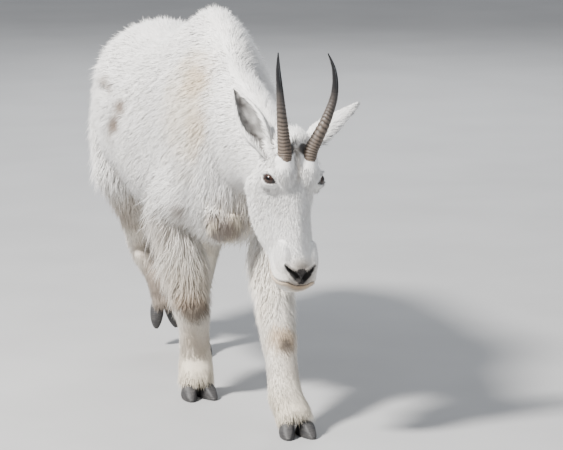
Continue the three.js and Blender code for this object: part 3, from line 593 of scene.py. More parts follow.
# y, x, z, half, up, down, crest, coat depth, hair length, tuft width
TRUNK = np.array([
    (-190, 0, 492, 40, 52, 46, 0.0, 10, 24, 2.1),
    (-165, 0, 498, 78, 116, 112, 0.05, 11, 25, 2.1),
    (-120, 0, 512, 96, 190, 164, 0.16, 12, 25, 2.1),
    (-60, 0, 520, 114, 240, 188, 0.3, 12, 25, 2.1),
    (0, 0, 520, 127, 270, 196, 0.36, 12, 25, 2.1),
    (50, 0, 520, 132, 278, 196, 0.36, 12, 25, 2.1),
    (110, 0, 520, 144, 260, 192, 0.28, 12, 25, 2.1),
    (180, 0, 518, 163, 226, 182, 0.12, 13, 26, 2.1),
    (270, 0, 520, 180, 202, 168, 0.06, 14, 27, 2.1),
    (350, 0, 524, 180, 193, 162, 0.06, 15, 28, 2.1),
    (430, 0, 532, 168, 188, 146, 0.07, 17, 31, 2.2),
    (510, 0, 544, 152, 174, 136, 0.08, 18, 33, 2.3),
    (580, 0, 556, 128, 142, 128, 0.05, 18, 33, 2.4),
    (630, 0, 566, 94, 98, 98, 0.0, 17, 32, 2.4),
    (660, 0, 574, 44, 44, 50, 0.0, 13, 30, 2.4),
], float)


def trunk_part(steps: int = 90, sides: int = 84) -> Part:
    """Lofts the trunk, with hair that runs back along the spine and down over the sides.

    Args:
        steps: Rings along it.
        sides: Points round each ring.

    Returns:
        The part.
    """
    table = ease_rows(TRUNK, steps)
    sin, cos = np.sin(circle(sides))[None, :], np.cos(circle(sides))[None, :]
    half, up, down, crest, coat = (table[:, k][:, None] for k in (3, 4, 5, 6, 7))
    reach = np.maximum(np.where(cos > 0, up, down) - coat, 10.0)
    narrow = 1.0 - crest * np.maximum(cos, 0.0) ** 2
    x = np.maximum(half * narrow - coat, 8.0) * np.sign(sin) * np.abs(sin) ** 0.92
    z = reach * np.sign(cos) * np.abs(cos) ** 0.94
    centre = table[:, [1, 0, 2]]
    ahead = np.broadcast_to(centre[:, None, 1], x.shape)
    rings = np.stack([x + centre[:, None, 0], ahead, z + centre[:, None, 2]], axis=2)
    breast = smoothstep(-70.0, -160.0, centre[:, 1])[:, None]
    rump = smoothstep(540.0, 630.0, centre[:, 1])[:, None]
    side = np.abs(sin)
    belly = np.maximum(-cos, 0.0)
    lie = np.zeros(rings.shape)
    lie[:, :, 0] = 0.10 * sin
    lie[:, :, 1] = (1.0 - 0.9 * breast) * (1.0 - 0.35 * rump) * (0.9 + 0.3 * belly)
    down_side = side * np.where(cos + 0.25 > 0, 0.95, 0.8)
    lie[:, :, 2] = -0.25 - down_side - 0.7 * breast - 0.9 * rump
    under = smoothstep(-0.1, -0.75, np.broadcast_to(cos, x.shape))
    longer = sum(swell.at(rings) for swell in FLEECE_LENGTH)
    hair = spread(table[:, 8], sides) * (1.0 + 1.15 * under) + longer
    deep = spread(table[:, 7], sides) * (1.0 + 0.7 * under) + 0.6 * longer
    across, along, fore = (np.tile(axis, (steps, 1)) for axis in np.eye(3))
    return Part(
        "trunk", rings, centre, along, across, fore, deep, hair, spread(table[:, 9], sides), unit(lie),
        np.full((steps, sides), 5.2),
    )


@dataclass(frozen=True)
class LegJoints:
    """The joints of one leg, from the trunk to the floor."""

    top: Triple
    mid: Triple
    low: Triple
    fetlock: Triple
    hoof: Triple
    splay: float = 0.0
    droop: float = 0.0
    shag: float = 0.0
    size: float = 1.0

    def foot(self) -> Points:
        """How the foot is turned."""
        return np.array(Matrix.Rotation(self.splay, 3, "Z") @ Matrix.Rotation(self.droop, 3, "X"))

    def coronet(self) -> Points:
        """Middle of the top of the hooves."""
        flat = Vector((0.0, 12.0, 29.0)) * self.size
        return np.array(self.hoof) + np.array(Matrix.Rotation(self.droop, 3, "X") @ flat)

    def between(self, start: str, end: str, part: float) -> Points:
        """A place part of the way between two joints."""
        a, b = np.array(getattr(self, start)), np.array(getattr(self, end))
        return a + (b - a) * part


LEGS: dict[str, LegJoints] = {
    "fore_right": LegJoints(
        (-80, -50, 540), (-84, 44, 385), (-62, -2, 163), (-55, 6, 72), (-58, -22, 0), 0.06, 0.0, 17.0
    ),
    "fore_left": LegJoints(
        (78, -60, 540), (74, -70, 385), (41, -285, 160), (32, -358, 74), (44, -396, 0), -0.05, 0.0, 3.0
    ),
    "hind_right": LegJoints(
        (-86, 520, 600), (-98, 430, 405), (-26, 588, 208), (-8, 487, 137), (3, 502, 70), 0.0, 1.02, 4.0, 0.92
    ),
    "hind_left": LegJoints(
        (84, 500, 600), (97, 350, 405), (87, 452, 214), (49, 414, 76), (43, 380, 0), -0.08, 0.0, 0.0, 0.92
    ),
}

# From, to, part of the way, wide, front, back, how far ahead, share of the shag, coat depth, hair length,
# tuft width
FORE_ROWS = [
    ("top", "mid", 0.0, 34, 70, 60, 20, 0, 13, 26, 2.2),
    ("top", "mid", 0.5, 50, 92, 78, 10, 0, 14, 30, 2.3),
    ("top", "mid", 0.95, 52, 74, 70, 0, 1, 15, 38, 2.3),
    ("mid", "low", 0.3, 46, 56, 62, 0, 1, 14, 42, 2.3),
    ("mid", "low", 0.66, 39, 43, 46, 0, 0.5, 9, 30, 2.2),
    ("mid", "low", 0.96, 38, 39, 37, 0, 0, 4, 16, 1.9),
    ("low", "fetlock", 0.3, 35, 32, 33, 0, 0, 4, 15, 1.8),
    ("low", "fetlock", 0.7, 35, 30, 32, 0, 0, 4, 15, 1.8),
    ("low", "fetlock", 1.0, 38, 32, 36, 0, 0, 4, 20, 1.9),
    ("fetlock", "coronet", 0.5, 39, 34, 36, 0, 0, 4, 24, 1.9),
    ("fetlock", "coronet", 1.0, 40, 37, 37, 0, 0, 3.5, 26, 1.9),
]
HIND_ROWS = [
    ("top", "mid", 0.0, 50, 100, 90, 0, 0, 17, 33, 2.3),
    ("top", "mid", 0.5, 66, 112, 118, -18, 0, 17, 36, 2.4),
    ("top", "mid", 1.0, 60, 84, 112, -22, 0, 18, 46, 2.6),
    ("mid", "low", 0.4, 46, 56, 62, 0, 0, 15, 48, 2.6),
    ("mid", "low", 0.75, 34, 36, 42, 0, 0, 9, 34, 2.4),
    ("mid", "low", 1.02, 30, 32, 36, 0, 0.6, 5, 20, 2.1),
    ("low", "fetlock", 0.35, 27, 27, 30, 0, 1, 3, 14, 1.8),
    ("low", "fetlock", 0.72, 26, 26, 26, 0, 0.4, 3, 13, 1.8),
    ("low", "fetlock", 1.0, 31, 28, 32, 0, 0, 3.5, 18, 1.9),
    ("fetlock", "coronet", 0.5, 32, 30, 31, 0, 0, 3.5, 22, 1.9),
    ("fetlock", "coronet", 1.0, 35, 33, 33, 0, 0, 3.5, 25, 1.9),
]


def leg_part(name: str, joints: LegJoints) -> Part:
    """Lofts one leg from the trunk to the top of its hooves.

    Args:
        name: The leg's name.
        joints: Its joints.

    Returns:
        The part, with hair that runs down it and a little back.
    """
    fetlock = np.array(joints.fetlock)
    rows = []
    table = FORE_ROWS if name.startswith("fore") else HIND_ROWS
    for start, end, part, wide, front, back, ahead, shaggy, coat, hair, tuft in table:
        if end == "coronet":
            at = fetlock + (joints.coronet() - fetlock) * part
        else:
            at = joints.between(start, end, part)
        full = joints.shag * shaggy
        girth = (wide + full, front, back + full)
        rows.append((at[0], at[1] - ahead, at[2], *girth, 0.0, coat + full * 0.8, hair + full * 1.5, tuft))
    steps, sides, long_hair = 92, 40, 26.0
    made = limb_part(name, np.array(rows, float), steps, sides)
    turn, side = circle(sides), np.sign(joints.hoof[0])
    behind = smoothstep(0.5, -0.6, np.cos(turn))[None, :] * (made.hair > long_hair)
    made.hair = made.hair * (1.0 + 0.3 * behind)
    outer = side * np.sin(turn) > 0
    open_out = 0.03 * joints.shag * (0.5 + 0.5 * outer[None, :]) * (made.hair > long_hair)
    made.lie = made.lie + np.array([0.0, 0.22, -0.25])
    made.lie[:, :, 0] += side * open_out
    made.lie[:, :, 1] += 0.5 * behind * (joints.shag > 0)
    made.lie = unit(made.lie)
    return made


NECK_END = HEAD.out(np.array([[0.0, 104.0, -34.0]]))[0]
# x, y, z, wide, front, back, crest, coat depth, hair length, tuft width, here and in the tables that follow
NECK = np.array([
    (0, 10, 590, 84, 150, 150, 0.3, 12, 25, 2.1),
    (0, -90, 582, 84, 130, 150, 0.25, 12, 25, 2.1),
    (6, -190, 568, 76, 106, 126, 0.2, 12, 24, 2.1),
    (NECK_END[0] * 0.6, -270, 550, 66, 88, 100, 0.1, 12, 24, 2.0),
    (NECK_END[0], NECK_END[1], NECK_END[2], 56, 64, 70, 0.0, 11, 22, 2.0),
], float)
TAIL = np.array([
    (0, 622, 664, 26, 20, 16, 0, 8, 40, 3.4),
    (0, 664, 640, 30, 22, 18, 0, 11, 50, 3.6),
    (0, 684, 600, 26, 18, 16, 0, 10, 50, 3.6),
    (0, 690, 560, 14, 10, 9, 0, 6, 36, 3.2),
    (0, 688, 540, 4, 3, 3, 0, 2, 20, 2.8),
], float)
TUFT = np.array([
    (-30, -126, 428, 46, 30, 26, 0, 12, 28, 2.8),
    (-34, -154, 412, 50, 32, 28, 0, 13, 26, 2.8),
    (-38, -170, 392, 52, 28, 27, 0, 12, 24, 2.8),
    (-40, -174, 372, 44, 21, 21, 0, 9, 20, 2.8),
    (-40, -172, 356, 18, 10, 10, 0, 3, 14, 2.8),
], float)


def neck_part() -> Part:
    """Lofts the neck, with hair that runs back from the head and down its sides."""
    steps, sides = 60, 56
    made = limb_part("neck", NECK, steps, sides, 5.2)
    side = np.abs(np.sin(circle(sides)))[None, :]
    flow = -made.along[:, None, :] * np.ones((1, sides, 1))
    flow[:, :, 2] -= 0.35 + 0.8 * side
    made.lie = unit(flow)
    return made


# The head down its own axis, from the crown to the lips: front reaches the bridge, back the jaw
HEAD_ROWS = np.array([
    (0, 80, 46, 34, 40, 26, 0.0, 9, 20, 2.2),
    (0, 76, 28, 48, 64, 46, 0.0, 11, 22, 2.2),
    (0, 76, 4, 55, 76, 60, 0.0, 9, 18, 2.0),
    (0, 80, -26, 58, 82, 64, -0.1, 7, 14, 1.8),
    (0, 88, -58, 60, 88, 62, -0.1, 7, 12, 1.7),
    (0, 96, -95, 54, 96, 52, 0.1, 6, 12, 1.6),
    (0, 94, -128, 50, 94, 46, 0.16, 5, 10, 1.5),
    (0, 78, -160, 46, 78, 44, 0.12, 4, 8.5, 1.5),
    (0, 58, -190, 42, 57, 42, 0.05, 3, 7, 1.4),
    (0, 44, -216, 44, 43, 40, 0.0, 2.2, 6, 1.3),
    (0, 42, -238, 43, 37, 34, 0.0, 1.6, 5, 1.3),
    (0, 42, -253, 36, 27, 28, 0.0, 1.4, 5, 1.3),
    (0, 43, -263, 22, 15, 18, 0.0, 1.2, 5, 1.3),
    (0, 43, -267, 6, 5, 6, 0.0, 1.2, 5, 1.3),
], float)


def head_part() -> Part:
    """Lofts the head, with hair down the face, back over the cheeks and up between the horns."""
    steps, sides = 100, 64
    made = limb_part("head", HEAD_ROWS, steps, sides, 4.6, (0.0, 0.0, -1.0))
    sin, cos = np.sin(circle(sides))[None, :], np.cos(circle(sides))[None, :]
    z = made.centre[:, 2][:, None]
    cheek = smoothstep(0.35, -0.5, np.broadcast_to(cos, (steps, sides)))
    lift = smoothstep(2.0, 24.0, z)
    flow = np.zeros(made.rings.shape)
    flow[:, :, 0] = 0.45 * sin
    flow[:, :, 1] = 0.15 + 0.9 * cheek + 0.5 * lift
    flow[:, :, 2] = -(1.0 - 0.55 * cheek) * (1.0 - 2.0 * lift * (1.0 - cheek))
    made.hair = made.hair * (1.0 + 0.9 * cheek * smoothstep(-215.0, -150.0, z))
    made.rings = HEAD.out(made.rings.reshape(-1, 3)).reshape(made.rings.shape)
    made.centre = HEAD.out(made.centre)
    made.along, made.across, made.fore = (HEAD.way(v) for v in (made.along, made.across, made.fore))
    made.lie = unit(HEAD.way(flow.reshape(-1, 3)).reshape(flow.shape))
    return made


# The ears: part of the way along, half width, curl, hair length
EAR_ROWS = np.array([
    (-0.24, 4, 4, 14), (-0.10, 11, 11, 14), (0.05, 16, 14, 14), (0.18, 22, 17, 13), (0.42, 25, 15, 11),
    (0.68, 18, 9, 9), (0.88, 8.5, 4, 7), (1.0, 1.6, 0.8, 5),
], float)


@dataclass(frozen=True)
class Ear:
    """One ear: its root on the head, the way it reaches from there, and the way its cup opens."""

    side: int
    place: Triple
    reach: Triple
    face: Triple
    slim: float = 1.0

    def part(self, name: str) -> Part:
        """Lofts the cupped leaf of the ear, its outside first and its inside after."""
        steps, arc = 40, 19
        root = HEAD.out(np.array([self.place], float))[0]
        reach = np.array(self.reach)
        along = unit(reach)
        face = unit(np.array(self.face))
        opened = unit(face - along * (face @ along))
        across = np.cross(along, opened)
        table = ease_rows(EAR_ROWS, steps)
        turns = np.linspace(-np.pi / 2, np.pi / 2, arc)
        there_and_back = np.sin(np.concatenate([turns, turns[::-1]]))
        centre = root + reach * table[:, :1]
        shells = []
        for shape, lift, turn in ((2.16, -2.8, turns), (2.0, 0.4, turns[::-1])):
            scale = 1.0 if lift < 0 else 0.9
            side = table[:, 1:2] * scale * self.slim * np.sin(turn)[None, :]
            up = table[:, 2:3] * (1.0 - np.cos(turn)[None, :] * shape) + lift
            shells.append(centre[:, None, :] + across * side[:, :, None] + opened * up[:, :, None])
        rings = np.concatenate(shells, axis=1)
        edge = np.abs(there_and_back)[None, :]
        inside = (np.arange(2 * arc) >= arc)[None, :]
        rim = smoothstep(0.80, 1.0, edge)
        front = smoothstep(0.05, 0.75, -self.side * there_and_back)[None, :]
        hair = table[:, 3:4] * (0.75 + 0.5 * rim + 0.3 * front * inside)
        wide = np.full((steps, 2 * arc), 1.8)
        coat = np.where(inside, 1.5 + 5.0 * rim, 3.0 + 1.5 * rim) * np.ones((steps, 1))
        sway = np.sign(there_and_back)[None, :, None]
        sideways = across * sway * np.where(inside, 0.55, 0.0)[:, :, None]
        lie = along + opened * (0.35 * rim)[:, :, None] - sideways
        fill = np.where(inside, 0.9 + 3.4 * rim + 1.1 * front, 4.6) * np.ones((steps, 1))
        frame = (np.tile(v, (steps, 1)) for v in (along, across, opened))
        return Part(name, rings, centre, *frame, coat, hair, wide, unit(lie * np.ones((steps, 1, 1))), fill)


EARS: dict[str, Ear] = {
    "ear_right": Ear(-1, (-47, 58, 10), (-49, 58, 113), (-0.25, -0.95, 0.1)),
    "ear_left": Ear(1, (45, 58, 27), (106, 28, 65), (0.60, -0.34, -0.72), 0.76),
}


# Blender helpers


def deselect() -> None:
    """Leaves nothing selected, so that an operator acts only on what is chosen after it."""
    bpy.ops.object.select_all(action="DESELECT")


def choose(thing: Object) -> None:
    """Makes one object the only selected and the active one."""
    deselect()
    thing.select_set(True)
    bpy.context.view_layer.objects.active = thing


def new_object(name: str, vertices: Points, faces: Faces) -> Object:
    """Makes a mesh object at the origin from metres.

    Args:
        name: The object's name.
        vertices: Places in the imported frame.
        faces: Faces by vertex number.

    Returns:
        The object, linked to the scene.
    """
    mesh = bpy.data.meshes.new(name)
    mesh.from_pydata(vertices.tolist(), [], faces)
    mesh.update()
    made = bpy.data.objects.new(name, mesh)
    bpy.context.scene.collection.objects.link(made)
    return made


def apply_modifier(thing: Object, kind: str, **settings: object) -> None:
    """Adds a modifier to an object and applies it."""
    choose(thing)
    added = thing.modifiers.new(kind.title(), kind)
    for key, value in settings.items():
        setattr(added, key, value)
    bpy.ops.object.modifier_apply(modifier=added.name)


def join(things: list[Object], name: str) -> Object:
    """Joins objects into the first of them and names it."""
    deselect()
    for thing in things:
        thing.select_set(True)
    bpy.context.view_layer.objects.active = things[0]
    bpy.ops.object.join()
    things[0].name = name
    things[0].data.name = name
    return things[0]


def smooth_faces(mesh: bpy.types.Mesh) -> None:
    """Shades every face of a mesh smooth."""
    mesh.polygons.foreach_set("use_smooth", np.ones(len(mesh.polygons), bool))
    mesh.update()


def read_vectors(rows: bpy.types.bpy_prop_collection, key: str) -> Points:
    """Reads one vector from each row of a mesh's data."""
    flat = np.zeros(len(rows) * 3)
    rows.foreach_get(key, flat)
    return flat.reshape(-1, 3)


def vertex_places(mesh: bpy.types.Mesh) -> Points:
    """Places of a mesh's vertices, in millimetres of the drawing frame."""
    return read_vectors(mesh.vertices, "co") * MM + CENTRE


def set_places(mesh: bpy.types.Mesh, points: Points) -> None:
    """Moves a mesh's vertices to places in millimetres of the drawing frame."""
    mesh.vertices.foreach_set("co", settle(points).ravel())
    mesh.update()


def vertex_normals(mesh: bpy.types.Mesh) -> Points:
    """Normals of a mesh's vertices."""
    return read_vectors(mesh.vertex_normals, "vector")


def set_tint(mesh: bpy.types.Mesh, tint: Points) -> None:
    """Stores a colour a vertex as the attribute that the coat's finishes read."""
    layer = mesh.attributes.get("Coat") or mesh.attributes.new("Coat", "FLOAT_COLOR", "POINT")
    rgba = np.concatenate([np.clip(tint, 0.0, 1.0), np.ones((len(tint), 1))], axis=1)
    layer.data.foreach_set("color", rgba.ravel())


def set_spots(mesh: bpy.types.Mesh, name: str, spots: Points) -> None:
    """Stores a vector a vertex as an attribute that a finish reads."""
    mesh.attributes.new(name, "FLOAT_VECTOR", "POINT").data.foreach_set("vector", spots.ravel())


def outward(thing: Object) -> None:
    """Turns every face of an object to point out of it."""
    choose(thing)
    bpy.ops.object.mode_set(mode="EDIT")
    bpy.ops.mesh.select_all(action="SELECT")
    bpy.ops.mesh.normals_make_consistent(inside=False)
    bpy.ops.object.mode_set(mode="OBJECT")


def dress(made: Object, material: bpy.types.Material, slot: str, *nodes: str) -> None:
    """Gives one piece its finish and its body, and hides the nodes that it stands in for."""
    made.data.materials.append(material)
    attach(made, BODY)
    if nodes:
        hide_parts(*nodes)


# Finishes


@dataclass
class Finish:
    """A procedural finish, built from nodes round one shader."""

    name: str
    roughness: float = 0.8
    tree: bpy.types.NodeTree = field(init=False)
    shader: bpy.types.Node = field(init=False)
    material: bpy.types.Material = field(init=False)

    def __post_init__(self) -> None:
        """Makes the material and its shader."""
        self.material = bpy.data.materials.new(self.name)
        self.material.use_nodes = True
        self.tree = self.material.node_tree
        self.shader = next(n for n in self.tree.nodes if n.type == "BSDF_PRINCIPLED")
        self.put("Roughness", self.roughness)

    def put(self, name: str, value: float) -> None:
        """Sets one socket of the shader."""
        self.shader.inputs[name].default_value = value

    def node(self, kind: str, **values: object) -> bpy.types.Node:
        """Adds a node, and sets its own settings or its sockets by name."""
        made = self.tree.nodes.new(kind)
        for key, value in values.items():
            if key in made.inputs:
                made.inputs[key].default_value = value
            else:
                setattr(made, key, value)
        return made

    def link(self, start: Socket, end: Socket) -> None:
        """Links two sockets."""
        self.tree.links.new(start, end)

    def feed(self, start: Socket, name: str = "Base Color") -> None:
        """Links a socket to one of the shader's."""
        self.link(start, self.shader.inputs[name])

    def tint(self) -> Socket:
        """The colour that the coat or skin has at each vertex."""
        return self.node("ShaderNodeAttribute", attribute_name="Coat").outputs["Color"]

    def spot(self, name: str) -> bpy.types.bpy_prop_collection:
        """The X, Y and Z of a vector stored at each vertex."""
        stored = self.node("ShaderNodeAttribute", attribute_name=name)
        made = self.node("ShaderNodeSeparateXYZ")
        self.link(stored.outputs["Vector"], made.inputs["Vector"])
        return made.outputs

    def noise(self, scale: float, detail: float = 3.0, stretch: Triple = (1, 1, 1)) -> Socket:
        """Noise over the piece, `scale` cells a metre, drawn out by `stretch`."""
        place = self.node("ShaderNodeTexCoord")
        drawn = self.node("ShaderNodeMapping", Scale=stretch)
        self.link(place.outputs["Object"], drawn.inputs["Vector"])
        made = self.node("ShaderNodeTexNoise", Scale=scale, Detail=detail)
        self.link(drawn.outputs["Vector"], made.inputs["Vector"])
        return made.outputs["Fac"]

    def ramp(self, value: Socket, *stops: tuple[float, Triple]) -> Socket:
        """Colours a value by a row of stops."""
        made = self.node("ShaderNodeValToRGB")
        band = made.color_ramp.elements
        while len(band) < len(stops):
            band.new(0.5)
        for element, (at, colour) in zip(band, stops):
            element.position = at
            element.color = (*colour, 1.0)
        self.link(value, made.inputs["Fac"])
        return made.outputs["Color"]

    def shaded(self, first: Socket, second: Socket, share: float) -> Socket:
        """Multiplies a colour by another, by a fixed share."""
        made = self.node("ShaderNodeMix", data_type="RGBA", blend_type="MULTIPLY")
        made.inputs["Factor"].default_value = share
        self.link(first, made.inputs["A"])
        self.link(second, made.inputs["B"])
        return made.outputs["Result"]

    def reach(self, vector: Socket, stretch: Triple = (1.0, 1.0, 0.0)) -> Socket:
        """How long a vector is once it is stretched."""
        drawn = self.node("ShaderNodeVectorMath", operation="MULTIPLY")
        drawn.inputs[1].default_value = stretch
        self.link(vector, drawn.inputs[0])
        made = self.node("ShaderNodeVectorMath", operation="LENGTH")
        self.link(drawn.outputs["Vector"], made.inputs[0])
        return made.outputs["Value"]

    def bump(self, height: Socket, depth: float, strength: float) -> None:
        """Raises the surface by a height, `depth` metres at the most."""
        made = self.node("ShaderNodeBump", Distance=depth, Strength=strength)
        self.link(height, made.inputs["Height"])
        self.feed(made.outputs["Normal"], "Normal")


# The stop of a ramp that shades nothing
FULL = (1.0, 1.0, 1.0)


def skin_finish() -> bpy.types.Material:
    """Skin with the short under-hair on it, in the coat's colours."""
    made = Finish("goat_skin", 0.85)
    grain = made.noise(900.0, 4.0, (1.0, 1.0, 0.35))
    mottled = made.ramp(grain, (0.25, (0.80, 0.785, 0.76)), (0.75, FULL))
    made.feed(made.shaded(made.tint(), mottled, 0.8))
    made.put("Specular IOR Level", 0.25)
    made.put("Sheen Weight", 0.2)
    made.bump(grain, 0.0015, 0.7)
    return made.material


def hair_finish() -> bpy.types.Material:
    """Hair, coloured by the root it grows from, with clouds and fine strands."""
    made = Finish("goat_hair", 0.72)
    cloud = made.ramp(made.noise(55.0, 4.0), (0.3, (0.90, 0.885, 0.86)), (0.7, FULL))
    strand = made.ramp(made.noise(1500.0, 2.0), (0.3, (0.86, 0.85, 0.83)), (0.7, FULL))
    made.feed(made.shaded(made.shaded(made.tint(), cloud, 0.7), strand, 0.5))
    made.put("Specular IOR Level", 0.3)
    made.put("Sheen Weight", 0.25)
    made.put("Sheen Roughness", 0.6)
    return made.material


def horn_finish() -> bpy.types.Material:
    """Horn: ringed grey-brown keratin, streaked along its length, that ends in a polished black tip."""
    made = Finish("horn_keratin", 0.42)
    spot = made.spot("HornPlace")
    base = made.ramp(
        spot["Z"], (0.0, (0.165, 0.127, 0.10)), (0.35, (0.14, 0.111, 0.09)), (0.52, (0.072, 0.061, 0.055)),
        (0.66, (0.017, 0.017, 0.018)), (1.0, (0.009, 0.009, 0.010)),
    )
    streak = made.noise(420.0, 4.0, (1.0, 1.0, 0.12))
    ring = made.ramp(spot["X"], (0.0, (0.18, 0.165, 0.15)), (0.45, (0.6, 0.57, 0.55)), (0.9, FULL))
    streaked = made.ramp(streak, (0.3, (0.6, 0.58, 0.55)), (0.7, (1.2, 1.15, 1.08)))
    made.feed(made.shaded(made.shaded(base, streaked, 0.6), ring, 0.9))
    made.feed(made.ramp(spot["Z"], (0.3, (0.60,) * 3), (0.55, (0.38,) * 3), (0.7, (0.16,) * 3)), "Roughness")
    made.bump(streak, 0.0008, 0.6)
    return made.material


def hoof_finish() -> bpy.types.Material:
    """Hoof: worn dark grey horn with growth lines and dust."""
    made = Finish("hoof_horn", 0.6)
    grain = made.noise(260.0, 5.0, (0.35, 0.35, 3.0))
    base = made.ramp(
        grain, (0.3, (0.022, 0.022, 0.024)), (0.6, (0.055, 0.055, 0.058)), (0.85, (0.12, 0.118, 0.118))
    )
    dust = made.ramp(made.noise(70.0, 5.0), (0.35, (0.6, 0.58, 0.56)), (0.7, (1.2, 1.12, 1.0)))
    made.feed(made.shaded(base, dust, 0.8))
    made.bump(grain, 0.0012, 0.8)
    return made.material


def eye_finish() -> bpy.types.Material:
    """Eye: a wet, dark brown iris round a level slot of a pupil, with a darker rim."""
    made = Finish("eye_wet", 0.14)
    spot = made.node("ShaderNodeAttribute", attribute_name="EyePlace").outputs["Vector"]
    iris = made.ramp(
        made.reach(spot), (0.0, (0.008, 0.004, 0.003)), (0.35, (0.030, 0.012, 0.006)),
        (0.62, (0.020, 0.008, 0.005)), (0.74, (0.004, 0.003, 0.003)), (0.95, (0.020, 0.014, 0.012)),
    )
    pupil = made.ramp(made.reach(spot, (1.0, 2.6, 0.0)), (0.40, (0.02, 0.02, 0.02)), (0.48, FULL))
    made.feed(made.shaded(iris, pupil, 1.0))
    made.put("Coat Weight", 0.25)
    made.put("Coat Roughness", 0.05)
    return made.material


# The skin

# Columns of the growth that each guide tells: coat depth, hair length, tuft width, fill, and the way that
# hair lies
DEEP, LONG, WIDE, FILL = range(4)
LIE = slice(4, 7)


def place_tree(places: Points) -> KDTree:
    """Makes a tree that finds the nearest of some places."""
    tree = KDTree(len(places))
    for i, place in enumerate(places):
        tree.insert(place, i)
    tree.balance()
    return tree


class Guides:
    """The growth of the hair over a group of parts, read at any place near them."""

    def __init__(self, parts: list[Part]) -> None:
        """Gathers the rings of the parts."""
        self.parts = parts
        rows = (np.dstack([p.coat, p.hair, p.wide, p.fill, p.lie]) for p in parts)
        self.growth = np.concatenate([row.reshape(-1, LIE.stop) for row in rows])
        self.part = np.concatenate([np.full(p.coat.size, i) for i, p in enumerate(parts)])
        self.ring = np.concatenate([np.repeat(np.arange(len(p.coat)), p.coat.shape[1]) for p in parts])
        self.tree = place_tree(np.concatenate([p.rings.reshape(-1, 3) for p in parts]))

    def read(self, points: Points, count: int = 5) -> tuple[Points, Points]:
        """Reads the growth at some places.

        Args:
            points: Places in the drawing frame.
            count: How many guides are blended for each.

        Returns:
            The growth for each place, and the number of its nearest guide.
        """
        growth = np.zeros((len(points), LIE.stop))
        nearest = np.zeros(len(points), int)
        for i, point in enumerate(points):
            found = self.tree.find_n(point, count)
            near = np.array([f[1] for f in found])
            w = 1.0 / (np.array([f[2] for f in found]) + 1.5)
            growth[i] = (self.growth[near] * w[:, None]).sum(axis=0) / w.sum()
            nearest[i] = near[0]
        return growth, nearest

    def unwrap(self, points: Points, nearest: Points) -> Points:
        """Lays places out on a map of the parts: round each part across, and along it up.

        Args:
            points: Places in the drawing frame.
            nearest: The nearest guide of each.

        Returns:
            A place from 0 to 1 each way for each.
        """
        out = np.zeros((len(points), 2))
        for i, part in enumerate(self.parts):
            mine = self.part[nearest] == i
            if not mine.any():
                continue
            ring = self.ring[nearest[mine]]
            off = points[mine] - part.centre[ring]
            span = np.linalg.norm(np.diff(part.centre, axis=0), axis=1)
            reached = np.concatenate([[0.0], np.cumsum(span)])
            along = reached[ring] + (off * part.along[ring]).sum(axis=1)
            turn = np.arctan2((off * part.across[ring]).sum(axis=1), (off * part.fore[ring]).sum(axis=1))
            out[mine, 0] = turn / (2 * np.pi) + 0.5
            out[mine, 1] = np.clip((along + 30.0) / (reached[-1] + 60.0), 0.0, 1.0)
        return out


@dataclass
class Shell:
    """One closed surface of the skin, with what grows on each of its vertices."""

    thing: Object
    guides: Guides
    growth: Points
    nearest: Points
    hair: Points


